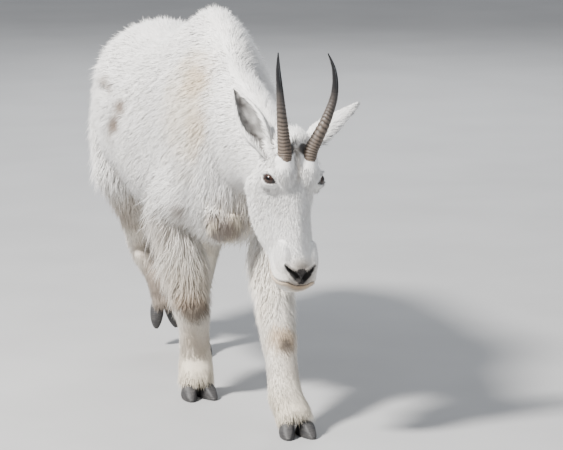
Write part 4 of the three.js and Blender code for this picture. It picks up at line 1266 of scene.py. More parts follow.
class Skin:
    """The skin: the trunk, neck and legs as one surface, with the head, the ears and the lids set in it."""

    # Size of the faces in metres, and rounds of smoothing
    BODY_MESH = (0.0067, 6)
    HEAD_MESH = (0.0018, 16)
    # The fold over each eye: how far out and up from the eyeball's middle, and its radii
    FOLD_OUT, FOLD_UP, FOLD = 9.0, 10.5, np.array([15.0, 4.8, 9.0])
    # Place on the left half and radii: under the horn twice, the side of the muzzle, the upper lip
    BUMPS = (
        ((25.0, 17.0, -32.0), (19.0, 20.5, 40.0)), ((27.0, 16.0, -14.0), (17.5, 16.5, 16.0)),
        ((25.0, 31.0, -204.0), (17.5, 22.0, 40.0)), ((17.0, 32.0, -241.0), (17.0, 19.0, 13.0)),
    )
    CHIN = ((0.0, 50.0, -254.0), (23.0, 16.0, 13.0))
    # Hollows of the face: place on the left half, how wide, how deep
    DENTS = (
        ((29.0, 8.0, -62.0), 13.0, 2.6), ((33.0, 22.0, -118.0), 18.0, 1.2),
        ((50.0, 40.0, -76.0), 9.0, 1.5),
    )

    def __init__(self) -> None:
        """Names the parts."""
        legs = [leg_part(name, joints) for name, joints in LEGS.items()]
        wool = limb_part("breast_tuft", TUFT, 40, 36, 7.0)
        tail = limb_part("tail", TAIL, 40, 36, 7.0)
        self.body_parts = [trunk_part(), neck_part(), *legs, wool, tail]
        self.head_parts = [head_part()]
        self.ear_parts = [ear.part(name) for name, ear in EARS.items()]
        self.shells: dict[str, Shell] = {}

    @staticmethod
    def fused(
        name: str, parts: list[Part], cell: float, rounds: int, extra: tuple[tuple[Points, Faces], ...] = (),
    ) -> Object:
        """Fuses lofted parts into one smooth surface.

        Args:
            name: Name of the surface.
            parts: The parts.
            cell: Size of its faces, in metres.
            rounds: How often it is smoothed.
            extra: More closed shapes, as vertices and faces.

        Returns:
            The surface as an object.
        """
        shapes = [*(ring_mesh(part.rings) for part in parts), *extra]
        things = [new_object(f"{name}_{i}", settle(v), faces) for i, (v, faces) in enumerate(shapes)]
        made = join(things, name)
        apply_modifier(made, "REMESH", mode="VOXEL", voxel_size=cell, adaptivity=0.0)
        apply_modifier(made, "SMOOTH", factor=0.5, iterations=rounds)
        return made

    @staticmethod
    def ball(centre: Points, radii: Points, turn: Points | None = None) -> tuple[Points, Faces]:
        """An ellipsoid in the head's frame, as closed rings."""
        count, sides, ends = 16, 24, 0.04
        up, turns = np.linspace(ends, np.pi - ends, count)[:, None], circle(sides)
        round_about = np.sin(up)
        rings = np.stack([
            round_about * np.sin(turns), round_about * -np.cos(turns), np.cos(up) * np.ones(sides),
        ], axis=2) * radii
        if turn is not None:
            rings = rings @ turn.T
        return ring_mesh(HEAD.out((rings + centre).reshape(-1, 3)).reshape(rings.shape))

    def head_bumps(self) -> tuple[tuple[Points, Faces], ...]:
        """The lids' domes and folds, the swellings under the horns, the nose's wings and the chin."""
        out = []
        for side in SIDES.values():
            corner, brow, look = EYE.axes(side)
            eye = EYE.centre(side)
            out.append(self.ball(eye - look * EYE.sink, np.full(3, EYE.dome)))
            fold = eye + look * self.FOLD_OUT + brow * self.FOLD_UP
            out.append(self.ball(fold, self.FOLD, np.stack([corner, brow, look], axis=1)))
            out += [self.ball(np.array([side * x, y, z]), np.array(radii)) for (x, y, z), radii in self.BUMPS]
        out.append(self.ball(*(np.array(row) for row in self.CHIN)))
        return tuple(out)

    def carve_face(self, mesh: bpy.types.Mesh) -> None:
        """Works the brow's groove, the nostrils, the mouth's line and the eye openings into the head."""
        q = HEAD.into(vertex_places(mesh))
        normal = vertex_normals(mesh) @ HEAD.matrix()
        side = np.sign(q[:, 0])
        half = folded(q)
        x = half[:, 0]
        front = q[:, 1] < 40
        groove = smoothstep(-76.0, -44.0, q[:, 2]) * smoothstep(26.0, 4.0, q[:, 2])
        q[:, 1] += 5.0 * hump(x / 6.5) * groove * front
        for place, wide, deep in self.DENTS:
            q -= normal * (deep * hump(np.linalg.norm(half - np.array(place), axis=1) / wide))[:, None]
        ridge = hump((x - np.interp(q[:, 2], [-200, -70], [31, 44])) / 5.0)
        ridge *= smoothstep(-205.0, -170.0, q[:, 2]) * smoothstep(-62.0, -84.0, q[:, 2]) * (q[:, 1] < 60)
        q += normal * (1.6 * ridge)[:, None]
        far, below = Face.mouth(q)
        lips = hump((np.abs(below) - 4.2) / 2.2) * (far < 9)
        q += normal * (0.7 * lips - 2.6 * hump(far / 1.7))[:, None]
        lip = smoothstep(-256.0, -252.0, q[:, 2]) * smoothstep(-238.0, -244.0, q[:, 2])
        q[:, 1] += 2.2 * hump(x / 1.9) * lip * front
        hole = Face.nostril(q)
        inward = np.tile(unit(np.array([-0.2, 0.9, 0.42])), (len(q), 1))
        inward[:, 0] *= side
        rim = hump((hole - 1.7) / 0.5) * (hole < 3.5)
        q += inward * (11.0 * np.exp(-(hole ** 3.5)) - 1.9 * rim)[:, None]
        for each in SIDES.values():
            shape, height = EYE.opening(q, each)
            away = unit(q - EYE.centre(each))
            q += away * (np.where(height > 0, -1.7, -1.2) * hump((shape - 1.75) / 0.22))[:, None]
            goal = EYE.centre(each) + away * (EYE.radius - 3.0)
            q += (goal - q) * smoothstep(1.10, 0.94, shape)[:, None]
        set_places(mesh, HEAD.out(q))

    @staticmethod
    def lids(side: int) -> tuple[Points, Faces]:
        """The rim of one eye: the edge of both lids as one closed band."""
        count, sides = 56, 10
        corner, brow, look = EYE.axes(side)
        t = circle(count)
        a = EYE.half_long * np.cos(t)
        b = EYE.half_high * np.sin(t) * (1.0 - EYE.point * np.cos(t) ** 2)
        depth = np.sqrt(np.maximum((EYE.radius + 0.5) ** 2 - a ** 2 - b ** 2, 4.0))
        middle = EYE.centre(side) + corner * a[:, None] + brow * b[:, None] + look * depth[:, None]
        away = unit(middle - EYE.centre(side))[:, None, :]
        edge = corner * np.cos(t)[:, None] * EYE.half_high + brow * np.sin(t)[:, None] * EYE.half_long
        edge = unit(edge)[:, None, :]
        turn = circle(sides)[None, :, None]
        thick = (1.0 + 0.7 * np.maximum(np.sin(t), 0.0))[:, None, None]
        ring = (
            middle[:, None, :] + away * (thick * (np.sin(turn) + 0.25))
            + edge * (thick * 1.2 * (np.cos(turn) + 0.55))
        )
        steps = [(r * sides, (r + 1) % count * sides) for r in range(count)]
        turns = [(k, (k + 1) % sides) for k in range(sides)]
        faces = [(r + k, r + m, n + m, n + k) for r, n in steps for k, m in turns]
        return HEAD.out(ring.reshape(-1, 3)), faces

    @staticmethod
    def part_at_eyes(points: Points, growth: Points) -> None:
        """Turns the hair round the eyes to lie away from them, and shortens it."""
        q = HEAD.into(points)
        for side in SIDES.values():
            near = smoothstep(2.5, 1.3, EYE.opening(q, side)[0])
            away = unit(HEAD.way(q - EYE.centre(side)))
            growth[:, LIE] = growth[:, LIE] * (1.0 - near)[:, None] + away * near[:, None]
            growth[:, LONG] *= 1.0 - 0.5 * near
            growth[:, DEEP] *= 1.0 - 0.6 * near

    def grow(
        self, name: str, thing: Object, parts: list[Part], tint: Points, count: int = 5, white: float = 0.0,
    ) -> None:
        """Reads the growth on one surface, and keeps it with its colours.

        Args:
            name: The surface's name.
            thing: Its object.
            parts: The parts that guide its hair.
            tint: One colour a vertex.
            count: How many guides are blended for each vertex.
            white: How much whiter its hair is than its skin.
        """
        guides = Guides(parts)
        points = vertex_places(thing.data)
        growth, nearest = guides.read(points, count)
        if name == "head":
            self.part_at_eyes(points, growth)
        hair = mixed(tint, Tone.WHITE, np.full(len(tint), white))
        self.shells[name] = Shell(thing, guides, growth, nearest, hair)
        outward(thing)
        set_tint(thing.data, tint)
        smooth_faces(thing.data)

    @staticmethod
    def ear_tint(part: Part) -> Points:
        """Colour of one ear: dark grey in the cup, white outside and along the rim."""
        steps, sides = part.coat.shape
        there = np.linspace(-1, 1, sides // 2)
        across = np.concatenate([there, there[::-1]])
        grey = smoothstep(0.98, 0.7, np.abs(across)) * (np.arange(sides) >= sides // 2)
        dark_side = 1 if part.name == "ear_right" else -1
        grey = grey * (0.72 + 0.28 * smoothstep(0.7, -0.3, across * dark_side))
        mottle = 0.85 + 0.35 * lattice_noise(part.rings.reshape(-1, 3), 8.0, 21)
        weight = np.concatenate([np.tile(grey, steps) * mottle, [0.0, 0.0]])
        return mixed(plain(steps * sides + 2), Tone.EAR, 0.96 * weight)

    def build(self) -> None:
        """Makes the surfaces and reads what grows on them."""
        body = self.fused("skin_body", self.body_parts, *self.BODY_MESH)
        places = vertex_places(body.data)
        stand = sum(swell.at(places) for swell in FLEECE_SHAPE)
        set_places(body.data, places + vertex_normals(body.data) * stand[:, None])
        self.grow("body", body, self.body_parts, body_tint(vertex_places(body.data)))
        head = self.fused("skin_head", self.head_parts, *self.HEAD_MESH, self.head_bumps())
        self.carve_face(head.data)
        self.grow("head", head, self.head_parts, head_tint(vertex_places(head.data)))
        for part in self.ear_parts:
            vertices, faces = ring_mesh(part.rings)
            thing = new_object(part.name + "_skin", settle(vertices), faces)
            self.grow(part.name, thing, [part], self.ear_tint(part), 2, 0.15)

    def finish(self, nodes: list[str]) -> None:
        """Joins the surfaces and the lids into the one skin and dresses it.

        Args:
            nodes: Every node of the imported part.
        """
        things = [shell.thing for shell in self.shells.values()]
        for name, side in SIDES.items():
            vertices, faces = self.lids(side)
            lid = new_object(f"lids_{name}", settle(vertices), faces)
            outward(lid)
            set_tint(lid.data, plain(len(vertices), Tone.DARK))
            smooth_faces(lid.data)
            things.append(lid)
        skin = join(things, "skin")
        skin.data.materials.clear()
        hard = ("eye", "horn", "toe", "dewclaw")
        flesh = [node for node in nodes if not any(word in node for word in hard)]
        dress(skin, skin_finish(), "coat", *flesh)


# The coat


@dataclass(frozen=True)
class TuftShape:
    """The outline of one tuft: where its sections are and how wide each is."""

    cuts: tuple[float, ...]
    widths: tuple[float, ...]

    def triangles(self) -> int:
        """How many triangles one tuft takes."""
        return 6 * (len(self.cuts) - 1) + 4

    def faces(self) -> tuple[Points, Points]:
        """The four-sided faces between sections, and the three-sided ones at both ends."""
        rings = len(self.cuts)
        sides = [(k, (k + 1) % 3) for k in range(3)]
        quads = [(r + a, r + b, r + 3 + b, r + 3 + a) for r in range(0, 3 * rings - 3, 3) for a, b in sides]
        tip = [(3 * rings - 3 + a, 3 * rings - 3 + b, 3 * rings) for a, b in sides]
        return np.array(quads, int).reshape(-1, 4), np.array([(0, 2, 1), *tip], int)


class TuftKind(Enum):
    """Tufts of short hair, which are straight, and of long hair, which bend."""

    STRAIGHT = TuftShape((0.0,), (1.0,))
    BENT = TuftShape((0.0, 0.45), (0.9, 0.85))


@dataclass
class Roots:
    """Where tufts stand, and how each grows."""

    place: Points
    normal: Points
    growth: Points
    tint: Points
    spot: Points

    def pick(self, chosen: Points) -> Roots:
        """Some of the roots."""
        return Roots(*(getattr(self, each.name)[chosen] for each in fields(self)))


class Coat:
    """The coat of tufts over the skin."""

    # Triangles of one piece, at most
    MOST = 190000
    # Size of one tuft's patch on the map of the skin
    BAKE = 0.003
    # Height in millimetres that no tuft hangs below
    FLOOR = 1.0
    # Every tuft's width, as a share of what the tables say
    FINE = 0.85
    # How much a tuft is shaded like the skin under it, and how much less where its hair is long
    SOFT, LONG_SOFT, LONG_HAIR = 0.66, 0.6, (28.0, 52.0)
    # Hair longer than this bends, give or take a share that varies from place to place
    BENT_OVER = {"body": 29.0, "head": 10.0, "ear_right": 12.0, "ear_left": 12.0}
    RAGGED = 0.3
    # How much tufts stray from the lie: each one, and all of a place by its noise
    STRAY = 0.16
    SWIRLS = ((0.22, 75.0, 11), (0.16, 30.0, 12))
    # How uneven the tufts are in length and rise, and in width
    UNEVEN, UNEVEN_WIDTH = 0.18, 0.22
    # How much steeper a tuft starts and how much flatter it ends than its mean
    START, END = 0.32, 0.30
    # How far tips are drawn together, and how far a tuft sways
    CLUMPED, SWAY = 0.42, 0.05
    # One tuft in so many leads a clump
    CLUMP = 9
    # How light a tuft is from root to tip, its root darkened as painted shade between the tufts, and how much
    # that varies
    SHADE, LUCK = np.array([0.84, 0.98, 1.01]), 0.07

    def __init__(self) -> None:
        """Makes the finish of the hair."""
        self.finish = hair_finish()

    @staticmethod
    def bare(shell: Shell, points: Points) -> Points:
        """Where hair is left off: the eyes, nostrils, lips and horn bases, from 0 to 1."""
        if shell.guides.parts[0].name != "head":
            return np.zeros(len(points))
        q = HEAD.into(points)
        half = folded(q)
        shape, height = EYE.opening(half, 1)
        return np.max([
            smoothstep(1.36, 1.22, shape - 0.10 * np.clip(height, 0.0, 1.0)),
            smoothstep(1.45, 1.2, Face.nostril(q)), smoothstep(0.3, 0.6, Face.pad(q)),
            smoothstep(1.6, 0.9, Face.mouth(q)[0]), smoothstep(1.0, 0.8, Face.gland(half)),
            HORNS.inside(half),
        ], axis=0)

    def roots(self, shell: Shell) -> Roots:
        """Scatters roots over one surface, as close as each place's hair asks.

        Args:
            shell: The surface and its growth.

        Returns:
            The roots.
        """
        mesh = shell.thing.data
        mesh.calc_loop_triangles()
        corner = np.zeros(len(mesh.loop_triangles) * 3, np.int32)
        mesh.loop_triangles.foreach_get("vertices", corner)
        corner = corner.reshape(-1, 3)
        places = vertex_places(mesh)
        normals = vertex_normals(mesh)
        tri = places[corner]
        area = np.linalg.norm(np.cross(tri[:, 1] - tri[:, 0], tri[:, 2] - tri[:, 0]), axis=1) / 2.0
        hair, wide, fill = (shell.growth[:, k] for k in (LONG, WIDE, FILL))
        close = fill / np.maximum(hair * wide * self.FINE, 1.0) * (1.0 - self.bare(shell, places))
        want = np.cumsum(area * close[corner].mean(axis=1))
        total = int(want[-1])
        at = (np.arange(total) + RNG.random(total)) / total * want[-1]
        face = np.minimum(np.searchsorted(want, at), len(corner) - 1)
        u, v = RNG.random(total), RNG.random(total)
        flip = u + v > 1
        u[flip], v[flip] = 1 - u[flip], 1 - v[flip]
        w = np.stack([1 - u - v, u, v], axis=1)[:, :, None]
        pick = corner[face]
        place = (places[pick] * w).sum(axis=1)
        nearest = shell.nearest[pick[np.arange(total), np.argmax(w[:, :, 0], axis=1)]]
        return Roots(
            place, unit((normals[pick] * w).sum(axis=1)), (shell.growth[pick] * w).sum(axis=1),
            (shell.hair[pick] * w).sum(axis=1), shell.guides.unwrap(place, nearest),
        )

    def clump(self, roots: Roots) -> Points:
        """The pull of each tuft's tip to the tip of its clump, in millimetres."""
        total = len(roots.place)
        seeds = RNG.choice(total, max(total // self.CLUMP, 1), replace=False)
        tree = place_tree(roots.place[seeds])
        near = np.array([tree.find(p)[1] for p in roots.place])
        pull = roots.place[seeds[near]] - roots.place
        pull -= roots.normal * (pull * roots.normal).sum(axis=1, keepdims=True)
        far = np.linalg.norm(pull, axis=1, keepdims=True)
        return pull * np.minimum(1.0, 0.5 * roots.growth[:, LONG:LONG + 1] / np.maximum(far, 1e-6))

    def spines(
        self, roots: Roots, cuts: tuple[float, ...], lively: float,
    ) -> tuple[list[Points], Points, Points]:
        """Runs the middle line of every tuft out from its root.

        Args:
            roots: Where the tufts stand.
            cuts: The places wanted along each tuft, from 0 at its root to 1 at its tip.
            lively: How much they stray from the lie of the coat.

        Returns:
            For each cut one place a tuft, then the way each tuft lies, and the way across it.
        """
        total, place, normal = len(roots.place), roots.place, roots.normal
        deep, hair = roots.growth[:, DEEP], roots.growth[:, LONG]
        swirl = sum(size * lattice_noise(place, scale, seed) for size, scale, seed in self.SWIRLS)
        yaw = (swirl + RNG.normal(0.0, self.STRAY, total)) * lively
        uneven = self.UNEVEN * RNG.normal(0.0, 1.0, total).clip(-2, 2)
        length = hair * (1.0 + uneven + 0.10 * lattice_noise(place, 40.0, 13))
        flow = roots.growth[:, LIE]
        flow = unit(flow - normal * (flow * normal).sum(axis=1, keepdims=True))
        flow = flow * np.cos(yaw)[:, None] + np.cross(normal, flow) * np.sin(yaw)[:, None]
        across = np.cross(normal, flow)
        mean = np.arcsin(np.clip(deep / np.maximum(hair, 1.0), 0.03, 0.9))
        mean = mean * (1.0 + self.UNEVEN * RNG.normal(0, 1, total))
        start, end = mean + self.START, mean - self.END
        pull = self.clump(roots) * self.CLUMPED
        sway = RNG.normal(0.0, self.SWAY, total) * length
        run = place - normal * (1.5 + 0.04 * length)[:, None]
        spines, last = [], 0.0
        for cut in cuts:
            angle = start + (end - start) * (last + cut) / 2.0
            step = (cut - last) * length
            run = run + flow * (np.cos(angle) * step)[:, None] + normal * (np.sin(angle) * step)[:, None]
            spines.append(run + pull * cut ** 1.5 + across * (sway * math.sin(math.pi * cut))[:, None])
            last = cut
        return spines, flow, across

    def tufts(self, roots: Roots, kind: TuftShape, name: str, lively: float) -> None:
        """Makes one piece of the coat.

        Args:
            roots: Where its tufts stand.
            kind: Their outline.
            name: The piece's name.
            lively: How much they stray from the lie of the coat.
        """
        total = len(roots.place)
        if not total:
            return
        centres, flow, across = self.spines(roots, (*kind.cuts, 1.0), lively)
        uneven = self.UNEVEN_WIDTH * RNG.normal(0.0, 1.0, total).clip(-2, 2)
        thick = roots.growth[:, WIDE] * self.FINE * (1.0 + uneven)
        stack = []
        for centre, share in zip(centres[:-1], kind.widths):
            half = (thick * share / 2.0)[:, None]
            low = centre - roots.normal * half * 0.25
            stack += [low - across * half, low + across * half, centre + roots.normal * half * 0.7]
        stack.append(centres[-1])
        vertices = np.stack(stack, axis=1)
        middles = np.stack([centre for centre in centres for _ in range(3)][:len(stack)], axis=1)
        long = smoothstep(*self.LONG_HAIR, roots.growth[:, LONG])[:, None, None]
        soft = self.SOFT * (1.0 - self.LONG_SOFT * long)
        facing = soft * roots.normal[:, None, :] + (1.0 - soft) * unit(vertices - middles)
        facing[:, -1] = facing[:, -2] + 0.3 * flow
        vertices[:, :, 2] = np.maximum(vertices[:, :, 2], self.FLOOR)
        rings = len(kind.cuts)
        luck = 1.0 + self.LUCK * RNG.normal(0.0, 1.0, total).clip(-2.5, 1.5)
        # Painted shade: each tuft is darker toward its root
        along = np.append(np.repeat(self.SHADE[:rings], 3), self.SHADE[-1])
        tint = roots.tint[:, None, :] * along[None, :, None] * luck[:, None, None]
        patch = [(k * 0.4, r * 0.35) for r in range(rings) for k in range(3)]
        patch = np.array([*patch, (0.4, 1.0)]) * self.BAKE
        bake = (0.004 + roots.spot * 0.988)[:, None, :] + patch[None]
        flat = (tint.reshape(-1, 3), bake.reshape(-1, 2), unit(facing).reshape(-1, 3))
        self.piece(name, kind.faces(), vertices, *flat)

    def piece(
        self, name: str, faces: tuple[Points, Points], vertices: Points, tint: Points, bake: Points,
        facing: Points,
    ) -> None:
        """Writes the mesh of one piece of the coat.

        Args:
            name: The piece's name.
            faces: The four-sided and three-sided faces of one tuft.
            vertices: Every tuft's vertices, as (tufts, vertices, 3).
            tint: One colour a vertex.
            bake: One place a vertex on the map of the skin.
            facing: The way that each vertex is shaded, near the way that the skin under it faces.
        """
        total, per = vertices.shape[:2]
        step = (np.arange(total) * per)[:, None, None]
        loops = np.concatenate([(each[None] + step).reshape(total, -1) for each in faces], axis=1)
        sizes = np.concatenate([np.full(len(each), each.shape[1]) for each in faces])
        starts = np.concatenate([[0], np.cumsum(sizes)[:-1]])
        mesh = bpy.data.meshes.new(name)
        mesh.vertices.add(total * per)
        mesh.vertices.foreach_set("co", settle(vertices).ravel())
        mesh.loops.add(loops.size)
        mesh.loops.foreach_set("vertex_index", loops.ravel())
        mesh.polygons.add(total * len(sizes))
        loop_start = starts[None] + (np.arange(total) * int(sizes.sum()))[:, None]
        mesh.polygons.foreach_set("loop_start", loop_start.ravel())
        uv = mesh.uv_layers.new(name="OFBake")
        mesh.update(calc_edges=True)
        uv.data.foreach_set("uv", bake[loops.ravel()].ravel())
        set_tint(mesh, tint)
        smooth_faces(mesh)
        mesh.validate()
        mesh.normals_split_custom_set_from_vertices(facing)
        made = bpy.data.objects.new(name, mesh)
        bpy.context.scene.collection.objects.link(made)
        dress(made, self.finish, "coat")

    def build(self, skin: Skin) -> None:
        """Grows the coat over every surface of the skin, in pieces of a fair size."""
        for name, shell in skin.shells.items():
            roots = self.roots(shell)
            ragged = self.RAGGED * self.BENT_OVER[name] * lattice_noise(roots.place, 14.0, 33)
            long = roots.growth[:, LONG] + ragged > self.BENT_OVER[name]
            for label, kind, chosen in (("long", TuftKind.BENT, long), ("short", TuftKind.STRAIGHT, ~long)):
                some = np.flatnonzero(chosen)
                order = some[np.argsort(roots.place[some, 1], kind="stable")]
                most = self.MOST // kind.value.triangles()
                pieces = max(1, math.ceil(len(order) / most))
                for i, chunk in enumerate(np.array_split(order, pieces)):
                    lively = 0.7 if name == "head" else 0.85
                    self.tufts(roots.pick(chunk), kind.value, f"coat_{name}_{label}_{i + 1}", lively)
            log.info("coat on %s: %d tufts", name, len(roots.place))


# Eyes, horns and hooves


def build_eyes() -> None:
    """Makes both eyes with a bulging cornea."""
    finish = eye_finish()
    for name, side in SIDES.items():
        deselect()
        bpy.ops.mesh.primitive_uv_sphere_add(segments=40, ring_count=24, radius=EYE.radius / MM)
        made = bpy.context.active_object
        made.name = made.data.name = f"eyeball_{name}"
        local = unit(read_vectors(made.data.vertices, "co"))
        bulge = 1.0 + 0.05 * smoothstep(0.62, 0.2, np.hypot(local[:, 0], local[:, 1])) * (local[:, 2] > 0)
        turned = local @ np.stack(EYE.axes(side)) * (EYE.radius * bulge)[:, None]
        set_places(made.data, HEAD.out(turned + EYE.centre(side)))
        set_spots(made.data, "EyePlace", local)
        outward(made)
        smooth_faces(made.data)
        dress(made, finish, "eye", f"eye_{name}")


@dataclass(frozen=True)
class Horns:
    """The horns: out, back, up and size at each station, in the head's frame."""

    path: tuple[tuple[float, ...], ...] = (
        (25, 14, -16, 15.6), (27, 9, 10, 15), (36, -5, 60, 11.8), (45, -19, 112, 8.4), (51, -27, 158, 5.2),
        (51, -27, 192, 1.2),
    )
    bow: tuple[float, float] = (0.0, 21.0)
    bow_power: float = 1.15
    rings: int = 21
    ringed: float = 0.60
    steps: int = 260
    sides: int = 30

    def table(self, side: int, bow: float) -> Points:
        """Stations of one horn: x, y, z and size."""
        rows = np.array(self.path, float)
        part = np.clip(rows[:, 2] / rows[-1, 2], 0, 1) ** self.bow_power
        rows[:, 0] = side * (rows[:, 0] + bow * np.sin(np.pi * part))
        return rows

    def inside(self, half: Points) -> Points:
        """How much places on the left half of the head's frame are inside the foot of a horn, from 0 to 1."""
        rows = ease_rows(self.table(1, 0.0), 24)[:10]
        far = np.linalg.norm(half[:, None, :] - rows[None, :, :3], axis=2) / rows[None, :, 3]
        return smoothstep(1.32, 1.16, far.min(axis=1))

    def build(self) -> None:
        """Makes both horns, ringed over the lower part."""
        finish = horn_finish()
        f = np.linspace(0.0, 1.0, self.steps)
        turn = circle(self.sides)
        ringed = smoothstep(self.ringed + 0.06, self.ringed - 0.16, f)
        place = np.where(f < self.ringed, f / self.ringed, 1.0) ** 1.12
        for (name, side), bow in zip(SIDES.items(), self.bow):
            eased = ease_rows(self.table(side, bow), self.steps)
            _, across, fore = ring_frames(eased[:, :3])
            waver = 0.05 * np.sin(turn + side)[None, :] + 0.03 * np.sin(3 * turn + 12 * f[:, None])
            phase = (place * self.rings)[:, None] + 0.35 * np.sin(f * 23.0 + side)[:, None] + waver * 3.0
            ridge = (0.5 - 0.5 * np.cos(2 * np.pi * phase)) ** 0.7
            deep = (ringed * (0.55 + 0.25 * np.sin(f * 31.0 + 2 * side)))[:, None]
            size = eased[:, 3:4] * 0.985 + deep * (ridge - 0.6) * 1.3
            ring = (
                eased[:, None, :3] + across[:, None, :] * (size * 0.9 * np.sin(turn))[:, :, None]
                + fore[:, None, :] * (size * np.cos(turn))[:, :, None]
            )
            vertices, faces = ring_mesh(ring)
            made = new_object(f"horn_{name}_ringed", settle(HEAD.out(vertices)), faces)
            worn = np.append((1.0 - ringed[:, None] * (1.0 - ridge)).ravel(), [1.0, 1.0])
            height = np.concatenate([np.repeat(f, self.sides), [0.0, 1.0]])
            set_spots(made.data, "HornPlace", np.stack([worn, height * 0, height], axis=1))
            outward(made)
            smooth_faces(made.data)
            dress(made, finish, "horn", f"horn_{name}")


HORNS = Horns()


# One toe down its length: along, half width, height
TOE_ROWS = np.array([
    (33, 10, 11), (22, 15, 19), (6, 17.5, 29), (-9, 17, 32), (-23, 14, 22), (-34, 9, 11), (-40, 4, 4),
], float)


@dataclass(frozen=True)
class Hooves:
    """The toes and dew claws of the four feet."""

    apart: float = 18.0
    spread: float = 0.17
    claw_back: float = 33.0
    claw_down: float = 0.2
    claw_apart: float = 16.0
    claw_radii: Triple = (8.0, 10.0, 14.0)

    def toe(self, side: int) -> Points:
        """Rings of one toe in its own frame, its sole on the floor and its tip along -Y."""
        rings = []
        for y, wide, high in ease_rows(TOE_ROWS, 26):
            inner, outer = -side * wide * 0.82, side * wide
            line = np.array([
                (inner, 0), (outer * 0.9, 0), (outer, high * 0.25), (outer * 0.82, high * 0.8),
                (outer * 0.2, high), (inner * 0.75, high * 0.9), (inner, high * 0.3),
            ])
            after = np.roll(line, -1, axis=0)
            quarters = np.arange(4)[None, :, None] / 4.0
            fine = (line[:, None, :] + (after - line)[:, None, :] * quarters).reshape(-1, 2)
            for _ in range(2):
                mean = (np.roll(fine, 1, axis=0) + np.roll(fine, -1, axis=0)) / 2.0
                fine = np.where(fine[:, 1:] > 0.01, fine * 0.5 + mean * 0.5, fine)
            rings.append([(x, y, z) for x, z in fine])
        return np.array(rings)

    def claw(self) -> tuple[Object, Points]:
        """Makes one dew claw as a sphere, and its vertices in its own frame."""
        deselect()
        bpy.ops.mesh.primitive_uv_sphere_add(segments=20, ring_count=12, radius=1.0)
        made = bpy.context.active_object
        local = read_vectors(made.data.vertices, "co")
        local[:, :2] *= 1.0 - 0.25 * smoothstep(0.2, -1.0, local[:, 2:])
        return made, local * np.array(self.claw_radii)

    def build(self) -> None:
        """Makes every toe and dew claw."""
        finish = hoof_finish()
        for leg, joints in LEGS.items():
            small, turn = joints.size, joints.foot()
            hoof, fetlock = np.array(joints.hoof, float), np.array(joints.fetlock, float)
            heel = unit(np.cross(np.array([1.0, 0.0, 0.0]), hoof - fetlock)) * self.claw_back * small
            above = fetlock + (hoof - fetlock) * self.claw_down + heel
            for name, side in SIDES.items():
                ring = self.toe(side) * small
                opened = np.array(Matrix.Rotation(side * self.spread, 3, "Z"))
                flat = ring.reshape(-1, 3) @ opened.T + np.array([side * self.apart * small, 0, 0])
                vertices, faces = ring_mesh((flat @ turn.T + hoof).reshape(ring.shape))
                toe = new_object("toe", settle(vertices), faces)
                claw, local = self.claw()
                set_places(claw.data, local @ turn.T + above + np.array([side * self.claw_apart, 0, 0]))
                for made, node in ((toe, f"{leg}_toe_{name}"), (claw, f"{leg}_dewclaw_{name}")):
                    made.name = made.data.name = f"{node}_horn"
                    outward(made)
                    choose(made)
                    bpy.ops.object.shade_smooth_by_angle(angle=math.radians(48))
                    dress(made, finish, "hoof", node)


# The room, the light and the camera


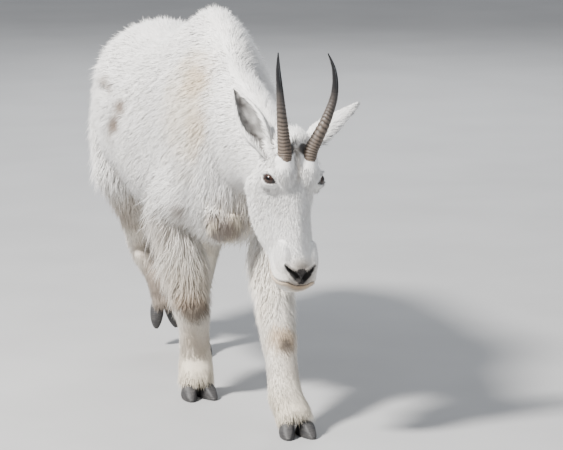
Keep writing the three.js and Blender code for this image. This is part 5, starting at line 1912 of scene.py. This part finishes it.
@dataclass(frozen=True)
class Studio:
    """A pale floor, soft lights and the camera at the photograph's angle."""

    azimuth: float = -15.0
    elevation: float = 10.0
    distance: float = 7500.0
    focal: float = 3675.0
    target: Triple = (0.0, 0.0, 400.0)
    pixel: tuple[float, float] = (222.0, 202.0)
    frame: tuple[float, float] = (563.0, 450.0)

    def camera(self) -> None:
        """Sets the camera so that the target lands on its pixel."""
        a, e = math.radians(self.azimuth), math.radians(self.elevation)
        back = Vector((math.sin(a) * math.cos(e), -math.cos(a) * math.cos(e), math.sin(e)))
        right = Vector((math.cos(a), math.sin(a), 0.0))
        up = back.cross(right)
        at = Vector(settle(np.array(self.target))) + back * (self.distance / MM)
        beside, above = ((whole / 2 - part) / self.focal for whole, part in zip(self.frame, self.pixel))
        ahead = (-back + right * beside - up * above).normalized()
        lens = bpy.data.cameras.new("camera")
        lens.sensor_width = 36.0
        lens.lens = 36.0 * self.focal / self.frame[0]
        lens.clip_end = 60.0
        made = bpy.data.objects.new("camera", lens)
        made.rotation_mode = "QUATERNION"
        made.rotation_quaternion = ahead.to_track_quat("-Z", "Y")
        made.location = at
        bpy.context.scene.collection.objects.link(made)
        bpy.context.scene.camera = made

    @staticmethod
    def lamp(name: str, at: Triple, size: float, power: float, tint: Triple) -> None:
        """Adds one soft light that looks at the animal's middle."""
        light = bpy.data.lights.new(name, "AREA")
        light.shape = "DISK"
        light.size = size
        light.energy = power
        light.color = tint
        made = bpy.data.objects.new(name, light)
        made.location = at
        made.rotation_mode = "QUATERNION"
        made.rotation_quaternion = (Vector((0.0, 0.0, 0.45)) - Vector(at)).to_track_quat("-Z", "Y")
        bpy.context.scene.collection.objects.link(made)

    def build(self) -> None:
        """Makes the room."""
        self.camera()
        deselect()
        bpy.ops.mesh.primitive_plane_add(size=30.0, location=(0.0, 0.0, -0.0005))
        floor = bpy.context.active_object
        floor.name = "floor"
        paint = Finish("floor_paint", 0.9)
        paint.feed(paint.ramp(paint.noise(3.0, 2.0), (0.3, (0.33,) * 3), (0.7, (0.36,) * 3)))
        floor.data.materials.append(paint.material)
        world = bpy.data.worlds.new("studio")
        bpy.context.scene.world = world
        world.use_nodes = True
        sky = next(n for n in world.node_tree.nodes if n.type == "BACKGROUND")
        sky.inputs["Color"].default_value = (0.86, 0.91, 1.0, 1.0)
        sky.inputs["Strength"].default_value = 0.5
        self.lamp("key", (-2.9, -1.1, 3.9), 0.8, 860.0, (1.0, 0.975, 0.94))
        self.lamp("fill", (2.4, -4.4, 2.0), 3.0, 60.0, (0.90, 0.95, 1.0))
        self.lamp("back", (1.6, 4.2, 2.8), 2.4, 170.0, (0.95, 0.97, 1.0))


def main() -> None:
    """Builds the dressed animal in its room, and logs how many tufts grow on each surface."""
    logging.basicConfig(level=logging.INFO, format="%(message)s")
    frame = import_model()
    Studio().build()
    skin = Skin()
    skin.build()
    Coat().build(skin)
    skin.finish(sorted(frame["nodes"]))
    build_eyes()
    HORNS.build()
    Hooves().build()


if __name__ == "__main__":
    main()
